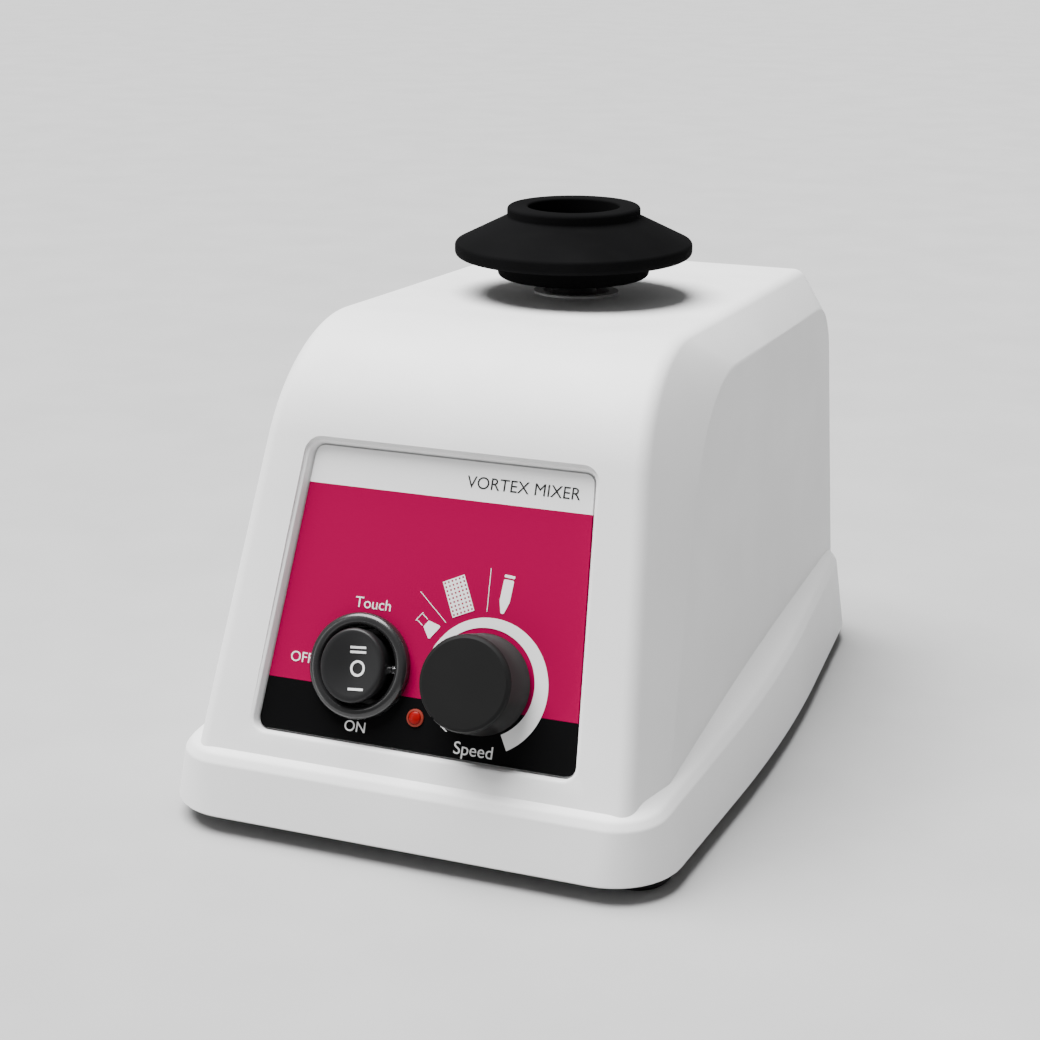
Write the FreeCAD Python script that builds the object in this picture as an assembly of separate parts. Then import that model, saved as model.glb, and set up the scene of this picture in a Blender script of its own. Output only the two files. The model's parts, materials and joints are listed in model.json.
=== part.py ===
import FreeCAD, Part
import math
import os

# Vortex mixer. Millimetres, +Z up, front towards -Y.
# Origin: centre of the footprint, on the surface that the rubber feet stand on.

V = FreeCAD.Vector

# ---- housing, driving dimensions ----
WALL = 2.5
SKIRT_BOTTOM = 4.0
FOOTPRINT_HALF_LENGTH = 94.0
FRONT_HALF_WIDTH = 58.6
MIDDLE_HALF_WIDTH = 62.2
REAR_HALF_WIDTH = 54.2
MIDDLE_Y = -5.0
FRONT_CORNER_RADIUS = 15.5
SIDE_BOW_RADIUS = 600.0
REAR_CORNER_RADIUS = 22.0
SKIRT_FRONT_HEIGHT = 15.7
SKIRT_RISE = 0.035
SKIRT_DRAFT = 2.6
LEDGE_WIDTH = 7.4
LEDGE_SLOPE = 0.6
TOP_FRONT_Z = 106.3
TOP_FALL = 0.0395
TOP_FRONT_Y = -30.0
REAR_FOOT_Y = 86.0
REAR_LEAN = 0.0813
BODY_BOTTOM = 10.0
NOSE_RADIUS = 35.0
TAIL_RADIUS = 5.0
EDGE_HALF_WIDTH = 50.4
EDGE_DRAFT = 0.092
EDGE_TAPER = 0.018
CHEEK_HALF_WIDTH = 53.5
CHEEK_DRAFT = 0.045
CHEEK_TAPER = 0.026
CHEEK_REF_Y = -69.0
CHEEK_REF_Z = 21.0
CHEEK_FRONT_Y = -75.0
CHEEK_FRONT_SLOPE = 0.438
CHEEK_TOP_Z = 96.0
CHEEK_TOP_FALL = 0.045
CHEEK_REAR_Y = 85.5
CHEEK_REAR_LEAN = 0.035
CHEEK_NOSE_RADIUS = 36.0
CHEEK_TAIL_RADIUS = 14.0

# ---- front panel ----
PANEL_TILT = 21.8
PANEL_FOOT = V(0, -84.6, 23.3)
PANEL_BOTTOM_WIDTH = 74.3
PANEL_TOP_WIDTH = 65.1
PANEL_HEIGHT = 63.3
PANEL_THICKNESS = 1.0
PANEL_RECESS = 1.6
PANEL_CORNER_RADIUS = 2.2
PANEL_GAP = 0.15
BEVEL_START = 0.2
BEVEL_SPREAD = 0.93
HOLE_REACH = 10.0
BACKING_DEPTH = 3.2

# ---- controls, places on the front panel ----
CONTROL_V = 16.4
SWITCH_U = -14.5
KNOB_U = 14.3
LED_U = -0.2
LED_V = 7.3
BEZEL_RADIUS = 11.6
SWITCH_BODY_RADIUS = 9.9
SWITCH_DEPTH = 18.0
SWITCH_WELL_RADIUS = 8.6
SWITCH_WELL_DEPTH = 7.0
ROCKER_PIVOT_W = -2.0
ROCKER_LOW_W = -5.0
ROCKER_TOP_W = 5.4
ROCKER_HALF_HEIGHT = 7.6
ROCKER_HALF_WIDTH = 6.9
PIVOT_RADIUS = 1.2
KNOB_BASE_RADIUS = 10.9
KNOB_FACE_RADIUS = 10.3
KNOB_LOW_W = 0.8
KNOB_TOP_W = 11.6
POT_RADIUS = 8.0
POT_SHAFT_RADIUS = 3.0
BUSHING_RADIUS = 3.5
LED_RADIUS = 1.5

# ---- cup and drive ----
MOTOR_Y = 13.8
ECCENTRICITY = 2.0
CUP_Y = MOTOR_Y - ECCENTRICITY
CUP_TOP = 126.0
CUP_BORE_RADIUS = 11.0
CUP_RIM_RADIUS = 16.0
CUP_FLANGE_RADIUS = 28.6
CUP_COLLAR_RADIUS = 18.3
COLLAR_BOTTOM = 109.2
CARRIER_RADIUS = 11.0
CARRIER_LOW = 93.0
CARRIER_SHOULDER = 100.2
NECK_RADIUS = 5.5
SPIGOT_RADIUS = 10.1
SPIGOT_TOP = 112.0
TOP_HOLE_RADIUS = 9.8
GROMMET_BORE_RADIUS = 8.0
GROMMET_LIP = 0.5
GROMMET_GAP = 0.15
BEARING_OUTER_RADIUS = 8.0
BEARING_LOW = 94.0
BEARING_HIGH = 99.0
BALL_CIRCLE = 5.25
BALL_RADIUS = 1.2
BALL_COUNT = 8
CRANK_PIN_RADIUS = 2.5
CRANK_PIN_TOP = 100.5
PIN_HOLE_RADIUS = 3.6

# ---- motor ----
STATOR_RADIUS = 28.0
STATOR_LOW = 39.0
STATOR_HIGH = 63.0
ROTOR_RADIUS = 15.0
POLE_COUNT = 4
POLE_ANGLE = 45.0
BELL_DEPTH = 10.0
BELL_WALL = 2.5
BELL_FLOOR = 3.0
BUSH_RADIUS = 6.0
BUSH_LENGTH = 8.0
BUSH_BOSS_RADIUS = 9.0
SHAFT_RADIUS = 3.0
SHAFT_LOW = 29.5
SHAFT_TOP = 85.8
BOLT_CIRCLE = 30.4
BOLT_RADIUS = 1.5
BOLT_TOP = 76.0
BOLT_HEAD_ACROSS = 5.5
CLAMP_THICKNESS = 0.6
FAN_Z = 77.5
FAN_HUB_RADIUS = 7.0
FAN_RADIUS = 24.0
FAN_PITCH = 38.0
FAN_BLADES = 7
WEIGHT_RADIUS = 21.0
WEIGHT_HUB_RADIUS = 8.0
WEIGHT_LOW = 82.0
WEIGHT_HIGH = 90.0
RUNNING_CLEARANCE = 0.05
FIT_GAP = 0.02

# ---- base plate and cradle ----
PLATE_LOW = 5.0
PLATE_HIGH = 7.0
PLATE_INSET = 3.4
FOOT_RADIUS = 7.5
FRONT_FEET = (49.0, -78.0)
REAR_FEET = (42.0, 74.0)
BOSS_PLACES = [(50.5, -45.0), (-50.5, -45.0), (49.0, 50.0), (-49.0, 50.0)]
BOSS_RADIUS = 4.0
CRADLE_LOW = 26.0
CRADLE_HIGH = 29.0
CRADLE_HALF = 36.0
CRADLE_BUSH_RADIUS = 5.0
POST_OFFSET = 29.0
POST_RADIUS = 3.0
SPRING_WIRE = 0.6
SPRING_RADIUS = 4.6
SPRING_TURNS = 5
POST_FOOT_HIGH = 9.0

# ---- touch microswitch and control board ----
TOUCH_Y = -13.0
TOUCH_HALF_WIDTH = 10.0
TOUCH_LOW = 11.0
TOUCH_HIGH = 21.5
PLUNGER_RADIUS = 1.2
BOARD_HALF_WIDTH = 36.0
BOARD_Y = (52.0, 81.0)
BOARD_LOW = 14.0
BOARD_HIGH = 15.6
BOARD_HOLE_X = 32.0
BOARD_HOLE_Y = (56.0, 77.0)

# ---- internal lead ----
LEAD_RADIUS = 1.5
CLIP_X = -41.5

# ---- mains inlet, on the rear wall ----
INLET_Z = 50.0
INLET_DEPTH = 22.0
FLANGE_THICKNESS = 2.0
SOCKET_DEPTH = 16.0
DRAWER_Z = (-12.2, -5.2)


# ---- small helpers ----
def cylinder(radius, low, high, x=0.0, y=0.0):
    return Part.makeCylinder(radius, high - low, V(x, y, low))


def ring(outer, inner, low, high, x=0.0, y=0.0):
    return cylinder(outer, low, high, x, y).cut(cylinder(inner, low - 1, high + 1, x, y))


def block(x, y, z):
    return Part.makeBox(x[1] - x[0], y[1] - y[0], z[1] - z[0], V(x[0], y[0], z[0]))


def turned(points, x=0.0, y=0.0):
    """A closed outline of (radius, height) points turned about a vertical axis."""
    wire = Part.makePolygon([V(r, 0, z) for r, z in points + points[:1]])
    solid = Part.Face(wire).revolve(V(0, 0, 0), V(0, 0, 1), 360)
    solid.translate(V(x, y, 0))
    return solid


def hex_prism(across_flats, low, high, x=0.0, y=0.0):
    corner = across_flats / math.sqrt(3)
    angles = [math.radians(60 * i) for i in range(7)]
    wire = Part.makePolygon([V(x + corner * math.cos(a), y + corner * math.sin(a), low) for a in angles])
    return Part.Face(wire).extrude(V(0, 0, high - low))


def fused(shapes):
    result = shapes[0]
    for shape in shapes[1:]:
        result = result.fuse(shape)
    return result.removeSplitter()


def softened(solid, radius, wanted):
    """Rounds the edges whose middle point passes the test."""
    edges = [edge for edge in solid.Edges if wanted(edge.valueAt(edge.getParameterByLength(edge.Length / 2)))]
    return solid.makeFillet(radius, edges)


def mirrored_pair(place):
    x, y = place
    return [(x, y), (-x, y)]


# ---- outlines ----
def inset(points, distance):
    """Moves each side of a closed anticlockwise outline inwards."""
    moved = []
    count = len(points)
    for i, (a, b) in enumerate(points):
        sides = []
        for start, end in ((points[i - 1], (a, b)), ((a, b), points[(i + 1) % count])):
            length = math.hypot(end[0] - start[0], end[1] - start[1])
            sides.append(((start[1] - end[1]) / length, (end[0] - start[0]) / length))
        (n0a, n0b), (n1a, n1b) = sides
        share = distance / (1 + n0a * n1a + n0b * n1b)
        moved.append((a + (n0a + n1a) * share, b + (n0b + n1b) * share))
    return moved


def rounded_edges(points, radii):
    """Straight runs joined by tangent arcs, one arc at each point."""
    count = len(points)
    arcs = []
    for i, corner in enumerate(points):
        back = points[i - 1] - corner
        ahead = points[(i + 1) % count] - corner
        back.normalize()
        ahead.normalize()
        half = back.getAngle(ahead) / 2
        reach = radii[i] / math.tan(half)
        inward = back + ahead
        inward.normalize()
        middle = corner + inward * (radii[i] / math.sin(half) - radii[i])
        arcs.append((corner + back * reach, middle, corner + ahead * reach))
    edges = []
    for i, (start, middle, end) in enumerate(arcs):
        edges.append(Part.Arc(start, middle, end).toShape())
        edges.append(Part.makeLine(end, arcs[(i + 1) % count][0]))
    return edges


def sheared(edges, row, a, b, c, shift):
    """Tilts a flat outline: coordinate number row gains a*x + b*y + c*z + shift."""
    matrix = FreeCAD.Matrix()
    values = (a, b, c, shift)
    for column, value in enumerate(values, start=1):
        old = getattr(matrix, f"A{row}{column}")
        setattr(matrix, f"A{row}{column}", old + value)
    return [edge.transformGeometry(matrix) for edge in edges]


def stacked(rings):
    """A closed solid through matched outlines, with straight-ruled sides."""
    return Part.makeLoft([Part.Wire(ring) for ring in rings], True, True)


# ---- housing ----
def footprint(shrink):
    corners = [
        (FRONT_HALF_WIDTH, -FOOTPRINT_HALF_LENGTH),
        (MIDDLE_HALF_WIDTH, MIDDLE_Y),
        (REAR_HALF_WIDTH, FOOTPRINT_HALF_LENGTH),
        (-REAR_HALF_WIDTH, FOOTPRINT_HALF_LENGTH),
        (-MIDDLE_HALF_WIDTH, MIDDLE_Y),
        (-FRONT_HALF_WIDTH, -FOOTPRINT_HALF_LENGTH),
    ]
    radii = [FRONT_CORNER_RADIUS, SIDE_BOW_RADIUS, REAR_CORNER_RADIUS]
    points = [V(x, y, 0) for x, y in inset(corners, shrink)]
    return rounded_edges(points, [radius - shrink for radius in radii + radii[::-1]])


def skirt_solid(shrink, bottom):
    """The wide base: an upright skirt and the ledge that slopes up to the body."""
    outer_z = SKIRT_FRONT_HEIGHT + SKIRT_RISE * FOOTPRINT_HALF_LENGTH
    low = sheared(footprint(shrink), 3, 0, 0, 0, bottom)
    middle = sheared(footprint(shrink + SKIRT_DRAFT), 3, 0, SKIRT_RISE, 0, outer_z - shrink * LEDGE_SLOPE)
    inner_z = outer_z + (LEDGE_WIDTH - shrink) * LEDGE_SLOPE
    high = sheared(footprint(SKIRT_DRAFT + LEDGE_WIDTH), 3, 0, SKIRT_RISE, 0, inner_z)
    return stacked([low, middle, high])


def brow_profile(shrink):
    """Side view of the front, top and rear surfaces."""
    front_slope = math.tan(math.radians(PANEL_TILT))
    proud = PANEL_RECESS / math.cos(math.radians(PANEL_TILT))
    front_foot = PANEL_FOOT.y - proud + front_slope * (BODY_BOTTOM - PANEL_FOOT.z)
    top_at_zero = TOP_FRONT_Z + TOP_FALL * TOP_FRONT_Y
    nose_y = (front_foot + front_slope * (top_at_zero - BODY_BOTTOM)) / (1 + front_slope * TOP_FALL)
    tail_y = (REAR_FOOT_Y - REAR_LEAN * (top_at_zero - BODY_BOTTOM)) / (1 - REAR_LEAN * TOP_FALL)
    corners = [
        (front_foot, BODY_BOTTOM),
        (REAR_FOOT_Y, BODY_BOTTOM),
        (tail_y, top_at_zero - TOP_FALL * tail_y),
        (nose_y, top_at_zero - TOP_FALL * nose_y),
    ]
    points = [V(0, y, z) for y, z in inset(corners, shrink)]
    return rounded_edges(points, [1.0, 1.0, TAIL_RADIUS - shrink, NOSE_RADIUS - shrink])


def cheek_profile(shrink):
    """Side view of the flat side panel, inside the sloping band that frames it."""
    rise = CHEEK_TOP_Z - BODY_BOTTOM
    nose_y = (CHEEK_FRONT_Y + CHEEK_FRONT_SLOPE * rise) / (1 + CHEEK_FRONT_SLOPE * CHEEK_TOP_FALL)
    tail_y = (CHEEK_REAR_Y - CHEEK_REAR_LEAN * rise) / (1 - CHEEK_REAR_LEAN * CHEEK_TOP_FALL)
    corners = [
        (CHEEK_FRONT_Y, BODY_BOTTOM),
        (CHEEK_REAR_Y, BODY_BOTTOM),
        (tail_y, CHEEK_TOP_Z - CHEEK_TOP_FALL * tail_y),
        (nose_y, CHEEK_TOP_Z - CHEEK_TOP_FALL * nose_y),
    ]
    points = [V(0, y, z) for y, z in inset(corners, shrink)]
    return rounded_edges(points, [1.0, 1.0, CHEEK_TAIL_RADIUS - shrink, CHEEK_NOSE_RADIUS - shrink])


def brow_x(y, z, shrink=0.0):
    front_y = PANEL_FOOT.y - WALL
    return EDGE_HALF_WIDTH - shrink - EDGE_DRAFT * (z - CHEEK_REF_Z) - EDGE_TAPER * (y - front_y)


def body_solid(shrink):
    """The tapered upper body: brow surface, framing bands and flat cheeks."""
    brow_shift = brow_x(0, 0, shrink)
    cheek_shift = CHEEK_HALF_WIDTH - shrink + CHEEK_TAPER * CHEEK_REF_Y + CHEEK_DRAFT * CHEEK_REF_Z
    rings = []
    for side in (-1, 1):
        brow = sheared(brow_profile(shrink), 1, 0, -side * EDGE_TAPER, -side * EDGE_DRAFT, side * brow_shift)
        cheek = sheared(cheek_profile(shrink), 1, 0, -side * CHEEK_TAPER, -side * CHEEK_DRAFT, side * cheek_shift)
        rings += [cheek, brow] if side < 0 else [brow, cheek]
    return stacked(rings)


def skirt_edge_test(point):
    outer_z = SKIRT_FRONT_HEIGHT + SKIRT_RISE * (point.y + FOOTPRINT_HALF_LENGTH)
    return abs(point.z - outer_z) < 0.05


def panel_outline(gap, height):
    """The panel's tapered outline, lying flat."""
    half_low = PANEL_BOTTOM_WIDTH / 2 + gap
    half_high = PANEL_TOP_WIDTH / 2 + gap
    corners = [V(half_low, -gap, height), V(half_high, PANEL_HEIGHT + gap, height)]
    corners += [V(-half_high, PANEL_HEIGHT + gap, height), V(-half_low, -gap, height)]
    return rounded_edges(corners, [PANEL_CORNER_RADIUS + gap] * 4)


def panel_blank(gap, low, high):
    return Part.Face(Part.Wire(panel_outline(gap, low))).extrude(V(0, 0, high - low))


def panel_bevel():
    """Widens the panel's recess towards the front surface."""
    reach = PANEL_RECESS + 1
    widest = PANEL_GAP + BEVEL_SPREAD * (reach - BEVEL_START)
    return stacked([panel_outline(PANEL_GAP, BEVEL_START), panel_outline(widest, reach)])


def on_panel(shape):
    """Carries a shape from the panel's own axes (u across, v up, w out) to its place."""
    moved = shape.copy()
    moved.rotate(V(0, 0, 0), V(1, 0, 0), 90 - PANEL_TILT)
    moved.translate(PANEL_FOOT)
    return moved


def on_rear(shape):
    """Carries a shape from the rear wall's own axes (y out, z up) to its place."""
    moved = shape.copy()
    moved.rotate(V(0, 0, 0), V(1, 0, 0), math.degrees(math.atan(REAR_LEAN)))
    moved.translate(V(0, REAR_FOOT_Y - REAR_LEAN * (INLET_Z - BODY_BOTTOM), INLET_Z))
    return moved


def panel_holes():
    low, high = -HOLE_REACH, HOLE_REACH
    holes = [cylinder(SWITCH_BODY_RADIUS + 0.1, low, high, SWITCH_U, CONTROL_V)]
    holes.append(cylinder(BUSHING_RADIUS + 0.1, low, high, KNOB_U, CONTROL_V))
    holes.append(cylinder(LED_RADIUS + 0.35, low, high, LED_U, LED_V))
    return holes


def inlet_cutout():
    return block((-13.8, 13.8), (-10, 5), (-13.3, 13.3))


def inlet_screw_places():
    return [(-20.0, 0.0), (20.0, 0.0)]


def make_housing_shell():
    skirt = softened(skirt_solid(0, SKIRT_BOTTOM), 1.6, skirt_edge_test)
    outer = body_solid(0).fuse(skirt)
    cavity = body_solid(WALL).fuse(skirt_solid(WALL, SKIRT_BOTTOM - 1))
    shell = outer.cut(cavity)
    backing = on_panel(block((-40, 40), (-4, PANEL_HEIGHT + 5), (-BACKING_DEPTH, 0))).common(outer)
    bosses = [cylinder(BOSS_RADIUS, PLATE_HIGH, 30, x, y).common(outer) for x, y in BOSS_PLACES]
    shell = shell.fuse([backing] + bosses)
    cuts = [on_panel(panel_blank(PANEL_GAP, -PANEL_THICKNESS, PANEL_RECESS)), on_panel(panel_bevel())]
    cuts += [on_panel(hole) for hole in panel_holes()]
    cuts += [cylinder(1.2, PLATE_HIGH - 1, 17, x, y) for x, y in BOSS_PLACES]
    cuts.append(cylinder(TOP_HOLE_RADIUS, 90, 120, 0, MOTOR_Y))
    cuts.append(on_rear(inlet_cutout()))
    for x, z in inlet_screw_places():
        hole = Part.makeCylinder(1.6, 10, V(x, -8, z), V(0, 1, 0))
        cuts.append(on_rear(hole))
    return shell.cut(cuts)


# ---- base ----
def make_base_plate():
    face = Part.Face(Part.Wire(footprint(PLATE_INSET)))
    plate = face.extrude(V(0, 0, PLATE_HIGH - PLATE_LOW))
    plate.translate(V(0, 0, PLATE_LOW))
    cuts = []
    for place in (FRONT_FEET, REAR_FEET):
        cuts += [cylinder(1.9, 0, 10, x, y) for x, y in mirrored_pair(place)]
    cuts += [cylinder(1.7, 0, 10, x, y) for x, y in BOSS_PLACES]
    for i in range(-4, 5):
        cuts.append(block((i * 6 - 1.5, i * 6 + 1.5), (MOTOR_Y - 14, MOTOR_Y + 14), (0, 10)))
    return plate.cut(cuts)


def make_base_plate_screws():
    screws = []
    for x, y in BOSS_PLACES:
        head = cylinder(2.8, PLATE_LOW - 1.6, PLATE_LOW, x, y)
        head = head.cut(block((x - 2, x + 2), (y - 0.4, y + 0.4), (0, PLATE_LOW - 0.9)))
        screws.append(fused([head, cylinder(1.2 - FIT_GAP, PLATE_LOW - 0.1, 16, x, y)]))
    return Part.makeCompound(screws)


def make_foot(x, y):
    profile = [(1.9, 2.4), (3.6, 2.4), (3.6, 0.0), (6.6, 0.0), (FOOT_RADIUS, 0.9)]
    profile += [(FOOT_RADIUS, 3.0), (6.7, 3.9), (6.7, PLATE_LOW), (1.9, PLATE_LOW)]
    return turned(profile, x, y)


def foot_places():
    return mirrored_pair(FRONT_FEET) + mirrored_pair(REAR_FEET)


def make_foot_screws():
    screws = []
    for x, y in foot_places():
        head = cylinder(3.2, 0.7, 2.4, x, y)
        head = head.cut(block((x - 2.4, x + 2.4), (y - 0.45, y + 0.45), (0, 1.5)))
        screws.append(fused([head, cylinder(1.7, 2.3, 10.5, x, y)]))
    return Part.makeCompound(screws)


def make_foot_nuts():
    nuts = []
    for x, y in foot_places():
        nut = hex_prism(6.5, PLATE_HIGH, PLATE_HIGH + 2.6, x, y)
        nuts.append(nut.cut(cylinder(1.7 + FIT_GAP, 0, 20, x, y)))
    return Part.makeCompound(nuts)


# ---- front panel and controls ----
def make_front_panel():
    return on_panel(panel_blank(0, -PANEL_THICKNESS, 0).cut(panel_holes()))


def make_switch_housing():
    profile = [
        (0, -SWITCH_DEPTH), (SWITCH_BODY_RADIUS, -SWITCH_DEPTH), (SWITCH_BODY_RADIUS, 0),
        (BEZEL_RADIUS, 0), (BEZEL_RADIUS, 0.7), (BEZEL_RADIUS - 0.3, 1.5), (BEZEL_RADIUS - 1.0, 2.3),
        (BEZEL_RADIUS - 1.8, 2.7), (BEZEL_RADIUS - 2.4, 2.5), (SWITCH_WELL_RADIUS, 0.9),
        (SWITCH_WELL_RADIUS, -SWITCH_WELL_DEPTH), (0, -SWITCH_WELL_DEPTH),
    ]
    shape = turned(profile, SWITCH_U, CONTROL_V)
    bore = Part.makeCylinder(PIVOT_RADIUS + FIT_GAP, 24, V(SWITCH_U - 12, CONTROL_V, ROCKER_PIVOT_W), V(1, 0, 0))
    return on_panel(shape.cut(bore))


def make_switch_rocker():
    ellipse = Part.Ellipse(V(SWITCH_U, CONTROL_V, ROCKER_LOW_W), ROCKER_HALF_HEIGHT, ROCKER_HALF_WIDTH)
    edge = ellipse.toShape()
    edge.rotate(V(SWITCH_U, CONTROL_V, 0), V(0, 0, 1), 90)
    key = Part.Face(Part.Wire([edge])).extrude(V(0, 0, ROCKER_TOP_W - ROCKER_LOW_W))
    key = softened(key, 0.9, lambda point: abs(point.z - ROCKER_TOP_W) < 0.01)
    bore_radius = PIVOT_RADIUS + RUNNING_CLEARANCE
    bore = Part.makeCylinder(bore_radius, 24, V(SWITCH_U - 12, CONTROL_V, ROCKER_PIVOT_W), V(1, 0, 0))
    return on_panel(key.cut(bore))


def make_switch_pivot():
    reach = SWITCH_BODY_RADIUS - 0.3
    pin = Part.makeCylinder(PIVOT_RADIUS, 2 * reach, V(SWITCH_U - reach, CONTROL_V, ROCKER_PIVOT_W), V(1, 0, 0))
    return on_panel(pin)


def make_switch_terminals():
    blades = []
    for v in (-6.0, 0.0, 6.0):
        low = -SWITCH_DEPTH - 7.5
        blades.append(block(
            (SWITCH_U - 2.4, SWITCH_U + 2.4), (CONTROL_V + v - 0.4, CONTROL_V + v + 0.4), (low, -SWITCH_DEPTH)))
    return on_panel(Part.makeCompound(blades))


def make_led_lens():
    dome = Part.makeSphere(LED_RADIUS, V(LED_U, LED_V, 0.1)).cut(block((-9, 9), (-9, 20), (-9, 0)))
    stem = cylinder(LED_RADIUS, -5, 0.2, LED_U, LED_V)
    return on_panel(fused([dome, stem]))


def make_led_holder():
    lip = ring(LED_RADIUS + 0.7, LED_RADIUS + FIT_GAP, 0, 0.5, LED_U, LED_V)
    sleeve = ring(LED_RADIUS + 0.3, LED_RADIUS + FIT_GAP, -4.5, 0.1, LED_U, LED_V)
    return on_panel(fused([lip, sleeve]))


def make_potentiometer_body():
    case = cylinder(POT_RADIUS, -12, -BACKING_DEPTH, KNOB_U, CONTROL_V)
    bushing = cylinder(BUSHING_RADIUS, -BACKING_DEPTH - 0.5, 3.6, KNOB_U, CONTROL_V)
    bore = cylinder(POT_SHAFT_RADIUS + RUNNING_CLEARANCE, -9, 6, KNOB_U, CONTROL_V)
    tag = block((KNOB_U - 6, KNOB_U + 6), (CONTROL_V - 12, CONTROL_V - 5), (-6.2, -5.0))
    return on_panel(fused([case, bushing, tag]).cut(bore))


def make_potentiometer_nut():
    nut = hex_prism(10, 0, 2.2, KNOB_U, CONTROL_V)
    return on_panel(nut.cut(cylinder(BUSHING_RADIUS + FIT_GAP, -1, 4, KNOB_U, CONTROL_V)))


def make_potentiometer_shaft():
    return on_panel(cylinder(POT_SHAFT_RADIUS, -8.5, KNOB_TOP_W - 2.2, KNOB_U, CONTROL_V))


def make_speed_knob():
    outer = [
        (0, KNOB_TOP_W), (KNOB_FACE_RADIUS - 0.9, KNOB_TOP_W), (KNOB_FACE_RADIUS - 0.3, KNOB_TOP_W - 0.25),
        (KNOB_FACE_RADIUS, KNOB_TOP_W - 0.9), (KNOB_BASE_RADIUS, KNOB_LOW_W + 0.4),
        (KNOB_BASE_RADIUS - 0.3, KNOB_LOW_W), (6.8, KNOB_LOW_W), (6.8, 4.4), (0, 4.4),
    ]
    knob = turned(outer[::-1], KNOB_U, CONTROL_V)
    bore = cylinder(POT_SHAFT_RADIUS + FIT_GAP, 0, KNOB_TOP_W - 2.0, KNOB_U, CONTROL_V)
    groove = block((-0.5, 0.5), (KNOB_FACE_RADIUS - 0.5, KNOB_BASE_RADIUS + 1), (KNOB_LOW_W + 1.5, KNOB_TOP_W + 1))
    groove.rotate(V(0, 0, 0), V(0, 0, 1), 143)
    groove.translate(V(KNOB_U, CONTROL_V, 0))
    return on_panel(knob.cut([bore, groove]))


# ---- mains inlet ----
def make_inlet_socket():
    flange = block((-25, 25), (0, FLANGE_THICKNESS), (-15, 15))
    flange = softened(flange, 4.0, lambda point: abs(abs(point.x) - 25) < 0.01 and abs(abs(point.z) - 15) < 0.01)
    body = block((-13.5, 13.5), (-INLET_DEPTH, 0.5), (-13, 13))
    mouth = block((-11.9, 11.9), (FLANGE_THICKNESS - SOCKET_DEPTH, 5), (-3.6, 11.6))
    drawer_slot = block((-11.6, 11.6), (-10, 5), (DRAWER_Z[0] - 0.3, DRAWER_Z[1] + 0.3))
    cuts = [mouth, drawer_slot]
    for x, z in inlet_screw_places():
        cuts.append(Part.makeCylinder(1.7, 10, V(x, -5, z), V(0, 1, 0)))
    for x, z in inlet_pin_places():
        cuts.append(block((x - 1.05, x + 1.05), (-INLET_DEPTH - 1, 0), (z - 2.05, z + 2.05)))
    return on_rear(fused([flange, body]).cut(cuts))


def inlet_pin_places():
    return [(-7.0, 2.6), (7.0, 2.6), (0.0, 6.6)]


def make_inlet_pins():
    pins = [block((x - 1, x + 1), (-INLET_DEPTH - 4, -3), (z - 2, z + 2)) for x, z in inlet_pin_places()]
    return on_rear(Part.makeCompound(pins))


def make_inlet_screws():
    screws = []
    for x, z in inlet_screw_places():
        head = Part.makeCylinder(2.9, 1.8, V(x, FLANGE_THICKNESS, z), V(0, 1, 0))
        head = head.cut(block((x - 2, x + 2), (FLANGE_THICKNESS + 1.0, 6), (z - 0.4, z + 0.4)))
        shank = Part.makeCylinder(1.5, 10, V(x, FLANGE_THICKNESS - 9.9, z), V(0, 1, 0))
        screws.append(fused([head, shank]))
    return on_rear(Part.makeCompound(screws))


def make_inlet_nuts():
    nuts = []
    for x, z in inlet_screw_places():
        nut = hex_prism(5.5, 0, 2.4)
        nut = nut.cut(cylinder(1.5 + FIT_GAP, -1, 4))
        nut.rotate(V(0, 0, 0), V(1, 0, 0), 90)
        nut.translate(V(x, -WALL, z))
        nuts.append(nut)
    return on_rear(Part.makeCompound(nuts))


def make_fuse_drawer():
    front = block((-11.3, 11.3), (-9.5, FLANGE_THICKNESS + 0.6), DRAWER_Z)
    tray = block((-10.4, 10.4), (-8.4, -2.0), (DRAWER_Z[0] + 1, DRAWER_Z[1] + 1))
    grip = block((-4, 4), (FLANGE_THICKNESS, FLANGE_THICKNESS + 1), (DRAWER_Z[1] - 1.4, DRAWER_Z[1] - 0.4))
    return on_rear(front.cut([tray, grip]))


def make_fuse():
    middle_z = DRAWER_Z[0] + 3.7
    body = Part.makeCylinder(2.5, 20, V(-10, -5.2, middle_z), V(1, 0, 0))
    return on_rear(body)


# ---- cup, carrier and orbit bearing ----
def make_rubber_cup():
    profile = [
        (0, SPIGOT_TOP), (SPIGOT_RADIUS, SPIGOT_TOP), (SPIGOT_RADIUS, COLLAR_BOTTOM),
        (CUP_COLLAR_RADIUS - 0.8, COLLAR_BOTTOM), (CUP_COLLAR_RADIUS, COLLAR_BOTTOM + 0.8),
        (CUP_COLLAR_RADIUS, 112.6), (CUP_COLLAR_RADIUS + 0.8, 113.2), (CUP_FLANGE_RADIUS - 1.4, 114.3),
        (CUP_FLANGE_RADIUS - 0.3, 114.8), (CUP_FLANGE_RADIUS, 115.5), (CUP_FLANGE_RADIUS, 116.6),
        (CUP_FLANGE_RADIUS - 0.9, 117.6), (CUP_RIM_RADIUS + 0.4, 123.2), (CUP_RIM_RADIUS, 123.7),
        (CUP_RIM_RADIUS, CUP_TOP - 0.9), (CUP_RIM_RADIUS - 0.8, CUP_TOP),
        (CUP_BORE_RADIUS + 0.5, CUP_TOP), (CUP_BORE_RADIUS, CUP_TOP - 0.5), (CUP_BORE_RADIUS, 121.0),
        (8.6, 116.6), (5.0, 114.2), (0, 113.4),
    ]
    return turned(profile, 0, CUP_Y)


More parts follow.
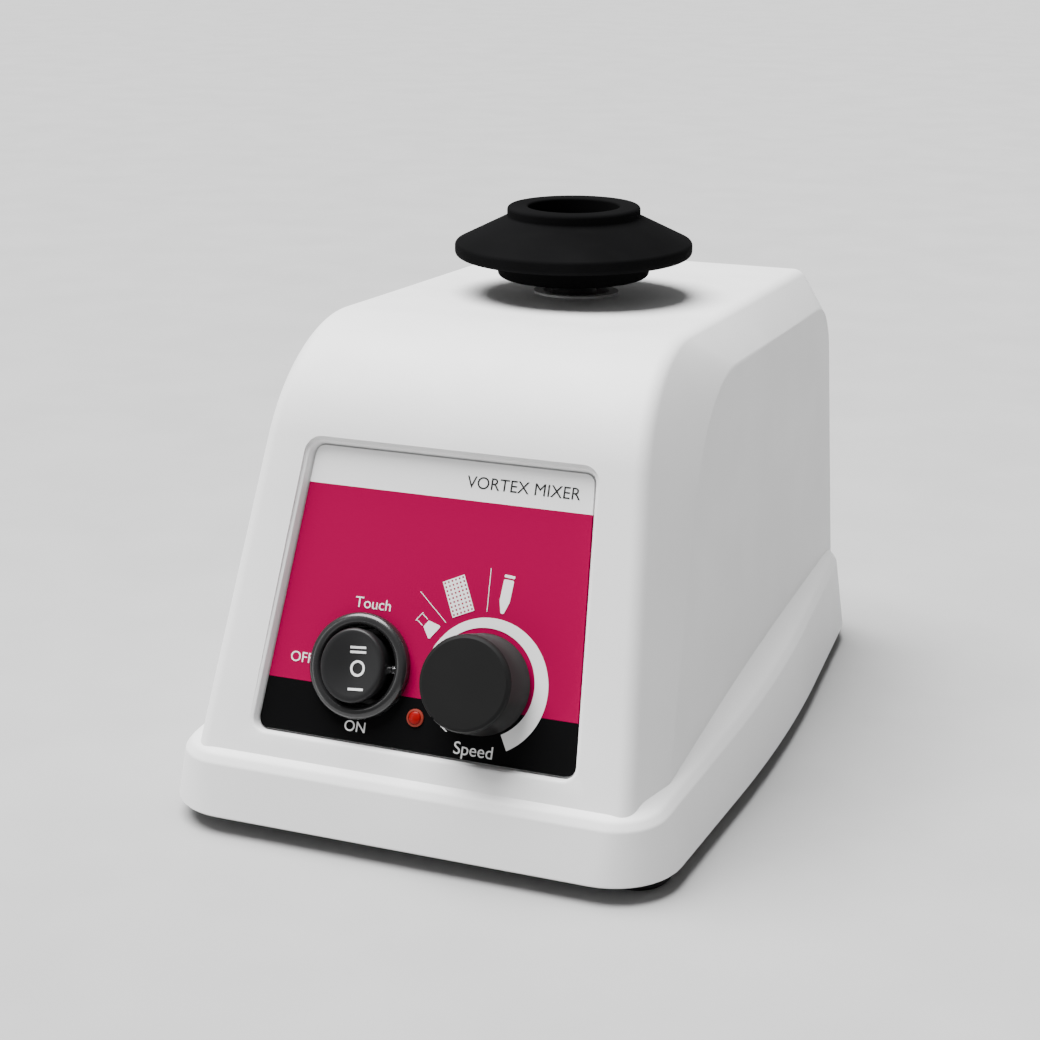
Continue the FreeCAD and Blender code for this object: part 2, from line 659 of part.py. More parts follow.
def make_cup_carrier():
    hole_top = CRANK_PIN_TOP + 0.5
    profile = [
        (PIN_HOLE_RADIUS, CARRIER_LOW), (CARRIER_RADIUS, CARRIER_LOW), (CARRIER_RADIUS, CARRIER_SHOULDER),
        (NECK_RADIUS, CARRIER_SHOULDER), (NECK_RADIUS, COLLAR_BOTTOM), (SPIGOT_RADIUS, COLLAR_BOTTOM),
        (SPIGOT_RADIUS, SPIGOT_TOP), (0, SPIGOT_TOP), (0, hole_top), (PIN_HOLE_RADIUS, hole_top),
        (PIN_HOLE_RADIUS, BEARING_HIGH), (BEARING_OUTER_RADIUS, BEARING_HIGH),
        (BEARING_OUTER_RADIUS, BEARING_LOW), (PIN_HOLE_RADIUS, BEARING_LOW),
    ]
    return turned(profile, 0, CUP_Y)


def bearing_groove():
    return Part.makeTorus(BALL_CIRCLE, BALL_RADIUS + RUNNING_CLEARANCE, V(0, CUP_Y, (BEARING_LOW + BEARING_HIGH) / 2))


def make_orbit_bearing_outer():
    race = ring(BEARING_OUTER_RADIUS, BALL_CIRCLE + 1.05, BEARING_LOW, BEARING_HIGH, 0, CUP_Y)
    return race.cut(bearing_groove())


def make_orbit_bearing_inner():
    race = ring(BALL_CIRCLE - 1.05, CRANK_PIN_RADIUS, BEARING_LOW + 0.3, BEARING_HIGH - 0.3, 0, CUP_Y)
    return race.cut(bearing_groove())


def make_orbit_bearing_balls():
    balls = []
    for i in range(BALL_COUNT):
        angle = 2 * math.pi * i / BALL_COUNT
        x, y = BALL_CIRCLE * math.cos(angle), CUP_Y + BALL_CIRCLE * math.sin(angle)
        balls.append(Part.makeSphere(BALL_RADIUS, V(x, y, (BEARING_LOW + BEARING_HIGH) / 2)))
    return Part.makeCompound(balls)


def make_splash_grommet():
    top_z = TOP_FRONT_Z - TOP_FALL * (MOTOR_Y - TOP_FRONT_Y)
    outer = ring(TOP_HOLE_RADIUS - GROMMET_GAP, GROMMET_BORE_RADIUS, -WALL, 0.0)
    lip_radius = TOP_HOLE_RADIUS + GROMMET_LIP
    lip_lows = (0.0, -WALL - GROMMET_LIP)
    lips = [ring(lip_radius, GROMMET_BORE_RADIUS, low, low + GROMMET_LIP) for low in lip_lows]
    grommet = fused([outer] + lips)
    grommet.rotate(V(0, 0, 0), V(1, 0, 0), -math.degrees(math.atan(TOP_FALL)))
    grommet.translate(V(0, MOTOR_Y, top_z))
    return grommet


# ---- motor and crank ----
def turned_copies(shape, count, first_angle=0.0):
    """Copies of a shape spaced round the motor axis."""
    copies = []
    for i in range(count):
        copy = shape.copy()
        copy.rotate(V(0, 0, 0), V(0, 0, 1), first_angle + 360 / count * i)
        copy.translate(V(0, MOTOR_Y, 0))
        copies.append(copy)
    return copies


def make_motor_stator():
    core = ring(STATOR_RADIUS, ROTOR_RADIUS + 0.6, STATOR_LOW, STATOR_HIGH, 0, MOTOR_Y)
    slot = block((ROTOR_RADIUS + 1.5, STATOR_RADIUS - 4.5), (-7, 7), (STATOR_LOW - 1, STATOR_HIGH + 1))
    return core.cut(turned_copies(slot, POLE_COUNT, POLE_ANGLE))


def make_motor_windings():
    half_width, overhang = 6.4, 4.0
    middle = (STATOR_LOW + STATOR_HIGH) / 2
    coil = block((17.2, 22.8), (-half_width, half_width), (STATOR_LOW - overhang, STATOR_HIGH + overhang))
    coil = softened(coil, 2.5, lambda p: abs(abs(p.y) - half_width) < 0.01 and abs(p.z - middle) > 15)
    return Part.makeCompound(turned_copies(coil, POLE_COUNT, POLE_ANGLE))


def bell_profile(face, outward):
    """Half section of an end bell whose rim meets the stator at height face."""
    far = face + outward * BELL_DEPTH
    floor = far - outward * BELL_FLOOR
    boss = far - outward * BUSH_LENGTH
    inner = STATOR_RADIUS - BELL_WALL
    return [
        (BUSH_RADIUS, far), (STATOR_RADIUS, far), (STATOR_RADIUS, face), (inner, face),
        (inner, floor), (BUSH_BOSS_RADIUS, floor), (BUSH_BOSS_RADIUS, boss), (BUSH_RADIUS, boss),
    ]


def make_lower_end_bell():
    return turned(bell_profile(STATOR_LOW, -1), 0, MOTOR_Y)


def make_upper_end_bell():
    return turned(bell_profile(STATOR_HIGH, 1), 0, MOTOR_Y)


def make_motor_bushes():
    bore = SHAFT_RADIUS + RUNNING_CLEARANCE
    lows = (STATOR_LOW - BELL_DEPTH, STATOR_HIGH + BELL_DEPTH - BUSH_LENGTH)
    return Part.makeCompound([ring(BUSH_RADIUS - FIT_GAP, bore, low, low + BUSH_LENGTH, 0, MOTOR_Y) for low in lows])


def bolt_holes(low, high):
    return turned_copies(cylinder(BOLT_RADIUS + 0.1, low, high, BOLT_CIRCLE, 0), POLE_COUNT)


def make_motor_bolts():
    shank = cylinder(BOLT_RADIUS, CRADLE_LOW + 0.2, BOLT_TOP, BOLT_CIRCLE, 0)
    head_low = STATOR_HIGH + BELL_DEPTH + CLAMP_THICKNESS
    head = hex_prism(BOLT_HEAD_ACROSS, head_low, BOLT_TOP, BOLT_CIRCLE, 0)
    return Part.makeCompound(turned_copies(fused([shank, head]), POLE_COUNT))


def make_motor_clamp_ring():
    """Ring that the through bolts pull down on the upper end bell."""
    low = STATOR_HIGH + BELL_DEPTH
    high = low + CLAMP_THICKNESS
    plate = ring(STATOR_RADIUS + 0.6, STATOR_RADIUS - 4, low, high, 0, MOTOR_Y)
    ears = turned_copies(cylinder(3.6, low, high, BOLT_CIRCLE, 0), POLE_COUNT)
    return fused([plate] + ears).cut(bolt_holes(low - 1, high + 1))


def make_rotor_core():
    return ring(ROTOR_RADIUS, SHAFT_RADIUS + FIT_GAP, STATOR_LOW, STATOR_HIGH, 0, MOTOR_Y)


def make_motor_shaft():
    return cylinder(SHAFT_RADIUS, SHAFT_LOW, SHAFT_TOP, 0, MOTOR_Y)


def make_cooling_fan():
    hub = ring(FAN_HUB_RADIUS, SHAFT_RADIUS + FIT_GAP, FAN_Z - 2.5, FAN_Z + 2.5, 0, MOTOR_Y)
    blade = block((FAN_HUB_RADIUS - 0.5, FAN_RADIUS), (-0.6, 0.6), (-3.2, 3.2))
    blade.rotate(V(0, 0, 0), V(1, 0, 0), FAN_PITCH)
    blade.translate(V(0, 0, FAN_Z))
    return fused([hub] + turned_copies(blade, FAN_BLADES))


def make_counterweight():
    hub = cylinder(WEIGHT_HUB_RADIUS, WEIGHT_LOW, WEIGHT_HIGH, 0, MOTOR_Y)
    rear = block((-30, 30), (MOTOR_Y + 4, 60), (WEIGHT_LOW - 1, WEIGHT_HIGH + 1))
    wedge = cylinder(WEIGHT_RADIUS, WEIGHT_LOW, WEIGHT_HIGH, 0, MOTOR_Y).common(rear)
    shaft_hole = cylinder(SHAFT_RADIUS + FIT_GAP, WEIGHT_LOW - 1, SHAFT_TOP + 0.1, 0, MOTOR_Y)
    pin_hole = cylinder(CRANK_PIN_RADIUS + FIT_GAP, SHAFT_TOP + 0.4, WEIGHT_HIGH + 1, 0, CUP_Y)
    return fused([hub, wedge]).cut([shaft_hole, pin_hole])


def make_crank_pin():
    return cylinder(CRANK_PIN_RADIUS - FIT_GAP, SHAFT_TOP + 0.5, CRANK_PIN_TOP, 0, CUP_Y)


# ---- cradle ----
def post_places():
    return [(sx * POST_OFFSET, MOTOR_Y + sy * POST_OFFSET) for sx in (-1, 1) for sy in (-1, 1)]


def make_cradle_plate():
    low, high = MOTOR_Y - CRADLE_HALF, MOTOR_Y + CRADLE_HALF
    plate = block((-CRADLE_HALF, CRADLE_HALF), (low, high), (CRADLE_LOW, CRADLE_HIGH))
    corner = CRADLE_HALF * math.sqrt(2) - 1
    plate = softened(plate, 8.0, lambda point: math.hypot(point.x, point.y - MOTOR_Y) > corner)
    below, above = CRADLE_LOW - 5, CRADLE_HIGH + 5
    cuts = [cylinder(CRADLE_BUSH_RADIUS, below, above, x, y) for x, y in post_places()]
    cuts.append(cylinder(BUSH_RADIUS + 1, below, above, 0, MOTOR_Y))
    return plate.cut(cuts + bolt_holes(below, above))


def make_cradle_bushes():
    bore = POST_RADIUS + RUNNING_CLEARANCE
    bushes = []
    for x, y in post_places():
        sleeve = ring(CRADLE_BUSH_RADIUS - FIT_GAP, bore, CRADLE_LOW - 1, CRADLE_HIGH, x, y)
        lip = ring(6.2, bore, CRADLE_LOW - 1, CRADLE_LOW, x, y)
        bushes.append(fused([sleeve, lip]))
    return Part.makeCompound(bushes)


def make_guide_posts():
    posts = []
    for x, y in post_places():
        foot = cylinder(6.5, PLATE_HIGH, POST_FOOT_HIGH, x, y)
        post = fused([foot, cylinder(POST_RADIUS, 8, CRADLE_HIGH, x, y)])
        posts.append(post.cut(cylinder(1.3, 18, 40, x, y)))
    return Part.makeCompound(posts)


def make_post_cap_screws():
    screws = []
    for x, y in post_places():
        head = cylinder(5.2, CRADLE_HIGH, 31.5, x, y).cut(hex_prism(3.0, 30, 33, x, y))
        screws.append(fused([head, cylinder(1.3 - FIT_GAP, 19, CRADLE_HIGH + 0.1, x, y)]))
    return Part.makeCompound(screws)


def make_cradle_springs():
    low, high = POST_FOOT_HIGH + SPRING_WIRE, CRADLE_LOW - 1 - SPRING_WIRE
    pitch = (high - low) / SPRING_TURNS
    helix = Part.makeHelix(pitch, high - low, SPRING_RADIUS)
    section = Part.Wire(Part.makeCircle(SPRING_WIRE, V(SPRING_RADIUS, 0, 0), V(0, 1, 0)))
    coil = Part.Wire(helix).makePipeShell([section], True, True)
    springs = []
    for x, y in post_places():
        spring = coil.copy()
        spring.translate(V(x, y, low))
        springs.append(spring)
    return Part.makeCompound(springs)


# ---- touch microswitch ----
def make_microswitch_bracket():
    return block((-TOUCH_HALF_WIDTH, TOUCH_HALF_WIDTH), (TOUCH_Y - 4, TOUCH_Y + 4), (PLATE_HIGH, TOUCH_LOW))


def make_microswitch_body():
    across, along = (-TOUCH_HALF_WIDTH, TOUCH_HALF_WIDTH), (TOUCH_Y - 3.2, TOUCH_Y + 3.2)
    body = block(across, along, (TOUCH_LOW, TOUCH_HIGH))
    return body.cut(cylinder(PLUNGER_RADIUS + RUNNING_CLEARANCE, TOUCH_LOW + 5, TOUCH_HIGH + 5, 0, TOUCH_Y))


def make_microswitch_plunger():
    return cylinder(PLUNGER_RADIUS, TOUCH_HIGH - 3, CRADLE_LOW, 0, TOUCH_Y)


# ---- control board ----
def board_holes():
    return [(sx * BOARD_HOLE_X, y) for sx in (-1, 1) for y in BOARD_HOLE_Y]


def make_control_board():
    board = block((-BOARD_HALF_WIDTH, BOARD_HALF_WIDTH), BOARD_Y, (BOARD_LOW, BOARD_HIGH))
    return board.cut([cylinder(1.4, BOARD_LOW - 1, BOARD_HIGH + 1, x, y) for x, y in board_holes()])


def make_board_standoffs():
    return Part.makeCompound([ring(2.8, 1.25, PLATE_HIGH, BOARD_LOW, x, y) for x, y in board_holes()])


def make_board_screws():
    screws = []
    for x, y in board_holes():
        head = cylinder(2.5, BOARD_HIGH, BOARD_HIGH + 1.6, x, y)
        screws.append(fused([head, cylinder(1.2, PLATE_HIGH + 2, BOARD_HIGH + 0.1, x, y)]))
    return Part.makeCompound(screws)


def make_board_components():
    connector = block((-28, -12), (70, 79), (BOARD_HIGH, BOARD_HIGH + 9.4))
    filter_choke = block((-8, 10), (55, 72), (BOARD_HIGH, BOARD_HIGH + 15.4))
    capacitor = cylinder(5, BOARD_HIGH, BOARD_HIGH + 17.4, 20, 60)
    sink = block((13, 28), (68, 78), (BOARD_HIGH, BOARD_HIGH + 18.4))
    gaps = [block((12, 29), (69.6 + 2.6 * i, 70.9 + 2.6 * i), (BOARD_HIGH + 4.4, BOARD_HIGH + 20)) for i in range(3)]
    return Part.makeCompound([connector, filter_choke, capacitor, sink.cut(gaps)])


# ---- internal leads ----
def lead(points, radius):
    """A round lead along straight runs and tangent arcs."""
    runs = [V(*point) for point in points]
    edges = []
    start = runs[0]
    for i in range(1, len(runs) - 1):
        back = runs[i - 1] - runs[i]
        ahead = runs[i + 1] - runs[i]
        reach = 0.45 * min(back.Length, ahead.Length)
        back.normalize()
        ahead.normalize()
        half = back.getAngle(ahead) / 2
        bend = reach * math.tan(half)
        inward = back + ahead
        inward.normalize()
        arc_start = runs[i] + back * reach
        arc_end = runs[i] + ahead * reach
        middle = runs[i] + inward * (bend / math.sin(half) - bend)
        edges.append(Part.makeLine(start, arc_start))
        edges.append(Part.Arc(arc_start, middle, arc_end).toShape())
        start = arc_end
    edges.append(Part.makeLine(start, runs[-1]))
    path = Part.Wire(edges)
    section = Part.Wire(Part.makeCircle(radius, runs[0], runs[1] - runs[0]))
    return path.makePipeShell([section], True, True)


def switch_tail(v):
    """The free end of one switch terminal."""
    tail = Part.Vertex(V(SWITCH_U, CONTROL_V + v, -SWITCH_DEPTH - 7.5))
    return on_panel(tail).Point


def make_switch_lead():
    tail = switch_tail(0.0)
    route = [(tail.x, tail.y, tail.z), (tail.x, tail.y + 10, tail.z - 4), (-26, -37, 15), (-37, -27, 10)]
    route += [(CLIP_X, -10, 9.2), (CLIP_X - 0.3, 16, 9.2), (CLIP_X, 42, 9.2), (-42.5, 62, 12)]
    route += [(-39, 73, 18.5), (-28.02, 75.5, 20.5)]
    return lead(route, LEAD_RADIUS)


def make_lead_clips():
    clips = []
    for y in (2.0, 30.0):
        clip = block((CLIP_X - 3.6, CLIP_X + 3.4), (y - 3, y + 3), (PLATE_HIGH, 12.4))
        clips.append(clip.cut(block((CLIP_X - 2.0, CLIP_X + 1.8), (y - 4, y + 4), (PLATE_HIGH + 0.5, 10.9))))
    return Part.makeCompound(clips)


def write(name, shape):
    shape.exportStep(f"parts/{name}.step")
    solids = shape.Solids
    print(f"{name}: {len(solids)} solid(s), valid {shape.isValid()}, {shape.Volume:.0f} mm3")


NODES = {
    "housing_shell": make_housing_shell,
    "base_plate": make_base_plate,
    "base_plate_screws": make_base_plate_screws,
    "foot_front_right": lambda: make_foot(*foot_places()[0]),
    "foot_front_left": lambda: make_foot(*foot_places()[1]),
    "foot_rear_right": lambda: make_foot(*foot_places()[2]),
    "foot_rear_left": lambda: make_foot(*foot_places()[3]),
    "foot_screws": make_foot_screws,
    "foot_nuts": make_foot_nuts,
    "front_panel": make_front_panel,
    "switch_housing": make_switch_housing,
    "switch_rocker": make_switch_rocker,
    "switch_pivot": make_switch_pivot,
    "switch_terminals": make_switch_terminals,
    "led_lens": make_led_lens,
    "led_holder": make_led_holder,
    "potentiometer_body": make_potentiometer_body,
    "potentiometer_nut": make_potentiometer_nut,
    "potentiometer_shaft": make_potentiometer_shaft,
    "speed_knob": make_speed_knob,
    "inlet_socket": make_inlet_socket,
    "inlet_pins": make_inlet_pins,
    "inlet_screws": make_inlet_screws,
    "inlet_nuts": make_inlet_nuts,
    "fuse_drawer": make_fuse_drawer,
    "fuse": make_fuse,
    "rubber_cup": make_rubber_cup,
    "cup_carrier": make_cup_carrier,
    "orbit_bearing_outer": make_orbit_bearing_outer,
    "orbit_bearing_inner": make_orbit_bearing_inner,
    "orbit_bearing_balls": make_orbit_bearing_balls,
    "splash_grommet": make_splash_grommet,
    "motor_stator": make_motor_stator,
    "motor_windings": make_motor_windings,
    "lower_end_bell": make_lower_end_bell,
    "upper_end_bell": make_upper_end_bell,
    "motor_bushes": make_motor_bushes,
    "motor_bolts": make_motor_bolts,
    "motor_clamp_ring": make_motor_clamp_ring,
    "rotor_core": make_rotor_core,
    "motor_shaft": make_motor_shaft,
    "cooling_fan": make_cooling_fan,
    "counterweight": make_counterweight,
    "crank_pin": make_crank_pin,
    "cradle_plate": make_cradle_plate,
    "cradle_bushes": make_cradle_bushes,
    "guide_posts": make_guide_posts,
    "post_cap_screws": make_post_cap_screws,
    "cradle_springs": make_cradle_springs,
    "microswitch_bracket": make_microswitch_bracket,
    "microswitch_body": make_microswitch_body,
    "microswitch_plunger": make_microswitch_plunger,
    "control_board": make_control_board,
    "board_standoffs": make_board_standoffs,
    "board_screws": make_board_screws,
    "board_components": make_board_components,
    "switch_lead": make_switch_lead,
    "lead_clips": make_lead_clips,
}

os.makedirs("parts", exist_ok=True)
for node, maker in NODES.items():
    write(node, maker())
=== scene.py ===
import bmesh
import bpy
import json
import math
from mathutils import Matrix, Vector


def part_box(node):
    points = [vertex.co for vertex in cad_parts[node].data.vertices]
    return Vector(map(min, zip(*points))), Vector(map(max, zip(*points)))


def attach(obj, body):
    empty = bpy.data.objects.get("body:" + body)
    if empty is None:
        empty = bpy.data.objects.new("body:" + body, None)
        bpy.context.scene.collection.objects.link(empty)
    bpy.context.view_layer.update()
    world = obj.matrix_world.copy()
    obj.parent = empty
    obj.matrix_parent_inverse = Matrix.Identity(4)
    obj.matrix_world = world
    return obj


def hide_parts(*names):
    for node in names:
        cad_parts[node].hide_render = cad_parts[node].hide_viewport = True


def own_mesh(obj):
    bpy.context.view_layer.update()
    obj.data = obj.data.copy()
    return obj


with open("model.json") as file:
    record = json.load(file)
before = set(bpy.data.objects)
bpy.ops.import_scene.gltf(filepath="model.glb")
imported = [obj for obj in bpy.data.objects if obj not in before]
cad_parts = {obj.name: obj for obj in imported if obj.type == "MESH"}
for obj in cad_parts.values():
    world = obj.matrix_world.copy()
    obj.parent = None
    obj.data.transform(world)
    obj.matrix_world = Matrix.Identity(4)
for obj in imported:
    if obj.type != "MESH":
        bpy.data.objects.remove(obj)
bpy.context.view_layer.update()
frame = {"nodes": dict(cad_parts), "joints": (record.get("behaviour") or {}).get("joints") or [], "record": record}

MM = 0.001
Z = Vector((0, 0, 1))

# Housing. Side views are (y, z) corners in millimetres: front foot, nose, tail, rear foot.
WALL = 2.5
BROW_CORNERS = [(-91.64, 10.0), (-53.82, 107.24), (78.79, 102.01), (86.0, 10.0)]
BROW_RADII = [0, 35.0, 5.0, 0]
CHEEK_CORNERS = [(-75.0, 10.0), (-36.61, 97.65), (82.67, 92.28), (85.5, 10.0)]
CHEEK_RADII = [0, 36.0, 14.0, 0]
SEGMENTS = [7, 28, 10, 10, 7]
BROW_SOFT = 3.6
CHEEK_SOFT = 0.9
FLAT_INSET = 2.5
CREASE_ANGLE = 24

# Base: (x, y) corners of the footprint, then the wall's draft and the ledge above it.
HALF_LENGTH = 94.0
FOOTPRINT = [
    (58.6, -HALF_LENGTH), (62.2, -5.0), (54.2, HALF_LENGTH),
    (-54.2, HALF_LENGTH), (-62.2, -5.0), (-58.6, -HALF_LENGTH),
]
FOOTPRINT_RADII = [15.5, 600.0, 22.0, 22.0, 600.0, 15.5]
BOWED = 100
SKIRT_LOW = 4.0
SKIRT_LIP = 0.5
SKIRT_TOP = 15.7
SKIRT_DRAFT = 2.6
SHOULDER_SOFT = 1.7
KNEE = 1.3
KNEE_RISE = 1.7
KNEE_SOFT = 2.5
LEDGE_RISE = 0.035
LEDGE_INSET = 10.0
LEDGE_HEIGHT = 4.4
LEDGE_TIGHTER = 1.9
LEDGE_DROP = 0.6

# Rear wall, screw bosses and the hole under the cup.
REAR_Y = 82.75
REAR_LEAN = math.atan(0.0813)
INLET_HOLE = 27.4
INLET_HOLE_DEPTH = 16
BOSS_RADIUS = 4.0
BOSS_PLACES = [(50.5, -45.0), (-50.5, -45.0), (49.0, 50.0), (-49.0, 50.0)]
GROMMET_LIP = 0.5

# Front panel: its own axes are u across, v up and w out of its face.
PANEL_THICKNESS = 1.0
PANEL_HEIGHT = 63.3
PANEL_HALF_LOW = 37.15
PANEL_HALF_HIGH = 32.55
PANEL_CORNER = 2.2
BACKING_DEPTH = 3.2
CONTROL_V = 16.4
BLACK_BAND = 11.25
WHITE_BAND = 54.8
PRINT_LIFT = 0.06
PRINT_SINK = 0.03

# Rocker: half sizes, height of its rim, depth of its dish, and its marks.
ROCKER_HALF_U = 7.5
ROCKER_HALF_V = 8.1
ROCKER_TOP = 5.4
ROCKER_DISH = 0.9
MARK_SHIFT = 1.25
MARK_TURN = 0.085
MARK_STROKE = 0.5

# Speed scale: centre, then the angles of its slow and fast ends.
KNOB_CENTRE = (14.3, CONTROL_V)
ARC_START = 238.0
ARC_END = -61.5
TICK_WIDTH = 0.13

# Colours of the printed label bands.
MAGENTA = (0.262, 0.0002, 0.045)
BAND_BLACK = (0.0045, 0.0045, 0.0047)
BAND_PALE = (0.78, 0.78, 0.78)

# Panel axes and foot, from the frame.
knob_joint = next(j for j in frame["joints"] if j["name"] == "knob_turn")
OUT = -Vector(knob_joint["axis"]).normalized()
UP = Vector((0, OUT.z, -OUT.y))
panel_low, panel_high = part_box("front_panel")
FOOT = Vector((0, panel_low.y, panel_low.z + PANEL_THICKNESS * MM * OUT.z))


# ---------------------------------------------------------------- camera, light, floor
def make_camera():
    turn, dip = math.radians(22.0), math.radians(17.6)
    data = bpy.data.cameras.new("camera")
    data.sensor_width = 36
    data.lens = 73.26
    camera = bpy.data.objects.new("camera", data)
    camera.location = Vector((177.6, -462.2, 207.4)) * MM
    camera.rotation_euler = (math.pi / 2 - dip, 0, turn)
    bpy.context.scene.collection.objects.link(camera)
    bpy.context.scene.camera = camera


def area_light(name, place, aim, size, power):
    data = bpy.data.lights.new(name, "AREA")
    data.shape = "RECTANGLE"
    data.size, data.size_y = size
    data.energy = power
    lamp = bpy.data.objects.new(name, data)
    lamp.location = place
    lamp.rotation_euler = (Vector(aim) - Vector(place)).to_track_quat("-Z", "Y").to_euler()
    bpy.context.scene.collection.objects.link(lamp)


def wide_sky(name, travel, strength, spread_degrees):
    """A very soft, far overhead light that reaches the whole floor evenly."""
    data = bpy.data.lights.new(name, "SUN")
    data.energy = strength
    data.angle = math.radians(spread_degrees)
    lamp = bpy.data.objects.new(name, data)
    lamp.rotation_euler = Vector(travel).to_track_quat("-Z", "Y").to_euler()
    bpy.context.scene.collection.objects.link(lamp)


def make_lights():
    wide_sky("top_soft", (0.28, 0.0, -0.96), 12.2, 50.0)
    area_light("front_strip", (-0.75, -0.9, 0.3), (0, 0, 0.06), (0.12, 0.9), 2.2)
    world = bpy.data.worlds.new("studio")
    bpy.context.scene.world = world
    world.use_nodes = True
    background = world.node_tree.nodes["Background"]
    background.inputs["Color"].default_value = (1, 1, 1, 1)
    background.inputs["Strength"].default_value = 0.24


# ---------------------------------------------------------------- materials
def shader(name, colour, roughness, coat=0.0, metallic=0.0, specular=0.5):
    material = bpy.data.materials.new(name)
    material.use_nodes = True
    node = material.node_tree.nodes["Principled BSDF"]
    node.inputs["Base Color"].default_value = (*colour, 1)
    node.inputs["Roughness"].default_value = roughness
    node.inputs["Metallic"].default_value = metallic
    node.inputs["Coat Weight"].default_value = coat
    node.inputs["Coat Roughness"].default_value = 0.08
    node.inputs["Specular IOR Level"].default_value = specular
    return material


def target(material, socket):
    return material.node_tree.nodes["Principled BSDF"].inputs[socket]


def add(material, kind, **values):
    node = material.node_tree.nodes.new(kind)
    for key, value in values.items():
        if hasattr(node, key):
            setattr(node, key, value)
        else:
            node.inputs[key.replace("_", " ")].default_value = value
    return node


def join(material, source, socket):
    material.node_tree.links.new(source, socket)


def position(material):
    return add(material, "ShaderNodeTexCoord").outputs["Object"]


def noise(material, scale, detail=2.0, stretch=None):
    texture = add(material, "ShaderNodeTexNoise", Scale=scale, Detail=detail)
    source = position(material)
    if stretch:
        mapping = add(material, "ShaderNodeMapping", Scale=stretch)
        join(material, source, mapping.inputs["Vector"])
        source = mapping.outputs["Vector"]
    join(material, source, texture.inputs["Vector"])
    return texture.outputs["Fac"]


def bump(material, height, strength, distance):
    node = add(material, "ShaderNodeBump", Strength=strength, Distance=distance)
    join(material, height, node.inputs["Height"])
    join(material, node.outputs["Normal"], target(material, "Normal"))


def spread(material, source, low, high, socket):
    """Drives one shader input between two values by a 0 to 1 source."""
    node = add(material, "ShaderNodeMapRange")
    node.inputs["From Min"].default_value = 0.35
    node.inputs["From Max"].default_value = 0.65
    node.inputs["To Min"].default_value = low
    node.inputs["To Max"].default_value = high
    join(material, source, node.inputs["Value"])
    join(material, node.outputs["Result"], target(material, socket))


def tint(material, source, dark, light):
    """Varies the base colour between two near shades."""
    ramp = add(material, "ShaderNodeValToRGB")
    ramp.color_ramp.elements[0].position = 0.35
    ramp.color_ramp.elements[0].color = (*dark, 1)
    ramp.color_ramp.elements[1].position = 0.65
    ramp.color_ramp.elements[1].color = (*light, 1)
    join(material, source, ramp.inputs["Fac"])
    join(material, ramp.outputs["Color"], target(material, "Base Color"))


def moulded(name, colour, roughness, grain=900, depth=0.00006, **more):
    """Injection-moulded plastic: faint cloudiness and a fine spark-eroded grain."""
    material = shader(name, colour, roughness, **more)
    cloud = noise(material, 26, 3)
    tint(material, cloud, [c * 0.965 for c in colour], [min(1, c * 1.02) for c in colour])
    spread(material, noise(material, 70, 2), roughness - 0.04, roughness + 0.05, "Roughness")
    bump(material, noise(material, grain, 3), 0.25, depth)
    return material


def rubber(name, colour, roughness, specular=0.16):
    material = shader(name, colour, roughness, specular=specular)
    tint(material, noise(material, 60, 4), [c * 0.8 for c in colour], [c * 1.25 for c in colour])
    spread(material, noise(material, 120, 3), roughness - 0.08, roughness + 0.08, "Roughness")
    bump(material, noise(material, 1400, 4), 0.35, 0.00008)
    return material


def metal(name, colour, roughness, stretch=(1, 1, 60)):
    material = shader(name, colour, roughness, metallic=1.0)
    tint(material, noise(material, 40, 3), [c * 0.88 for c in colour], [min(1, c * 1.05) for c in colour])
    lines = noise(material, 500, 4, stretch)
    spread(material, lines, roughness - 0.06, roughness + 0.1, "Roughness")
    bump(material, lines, 0.2, 0.00003)
    return material


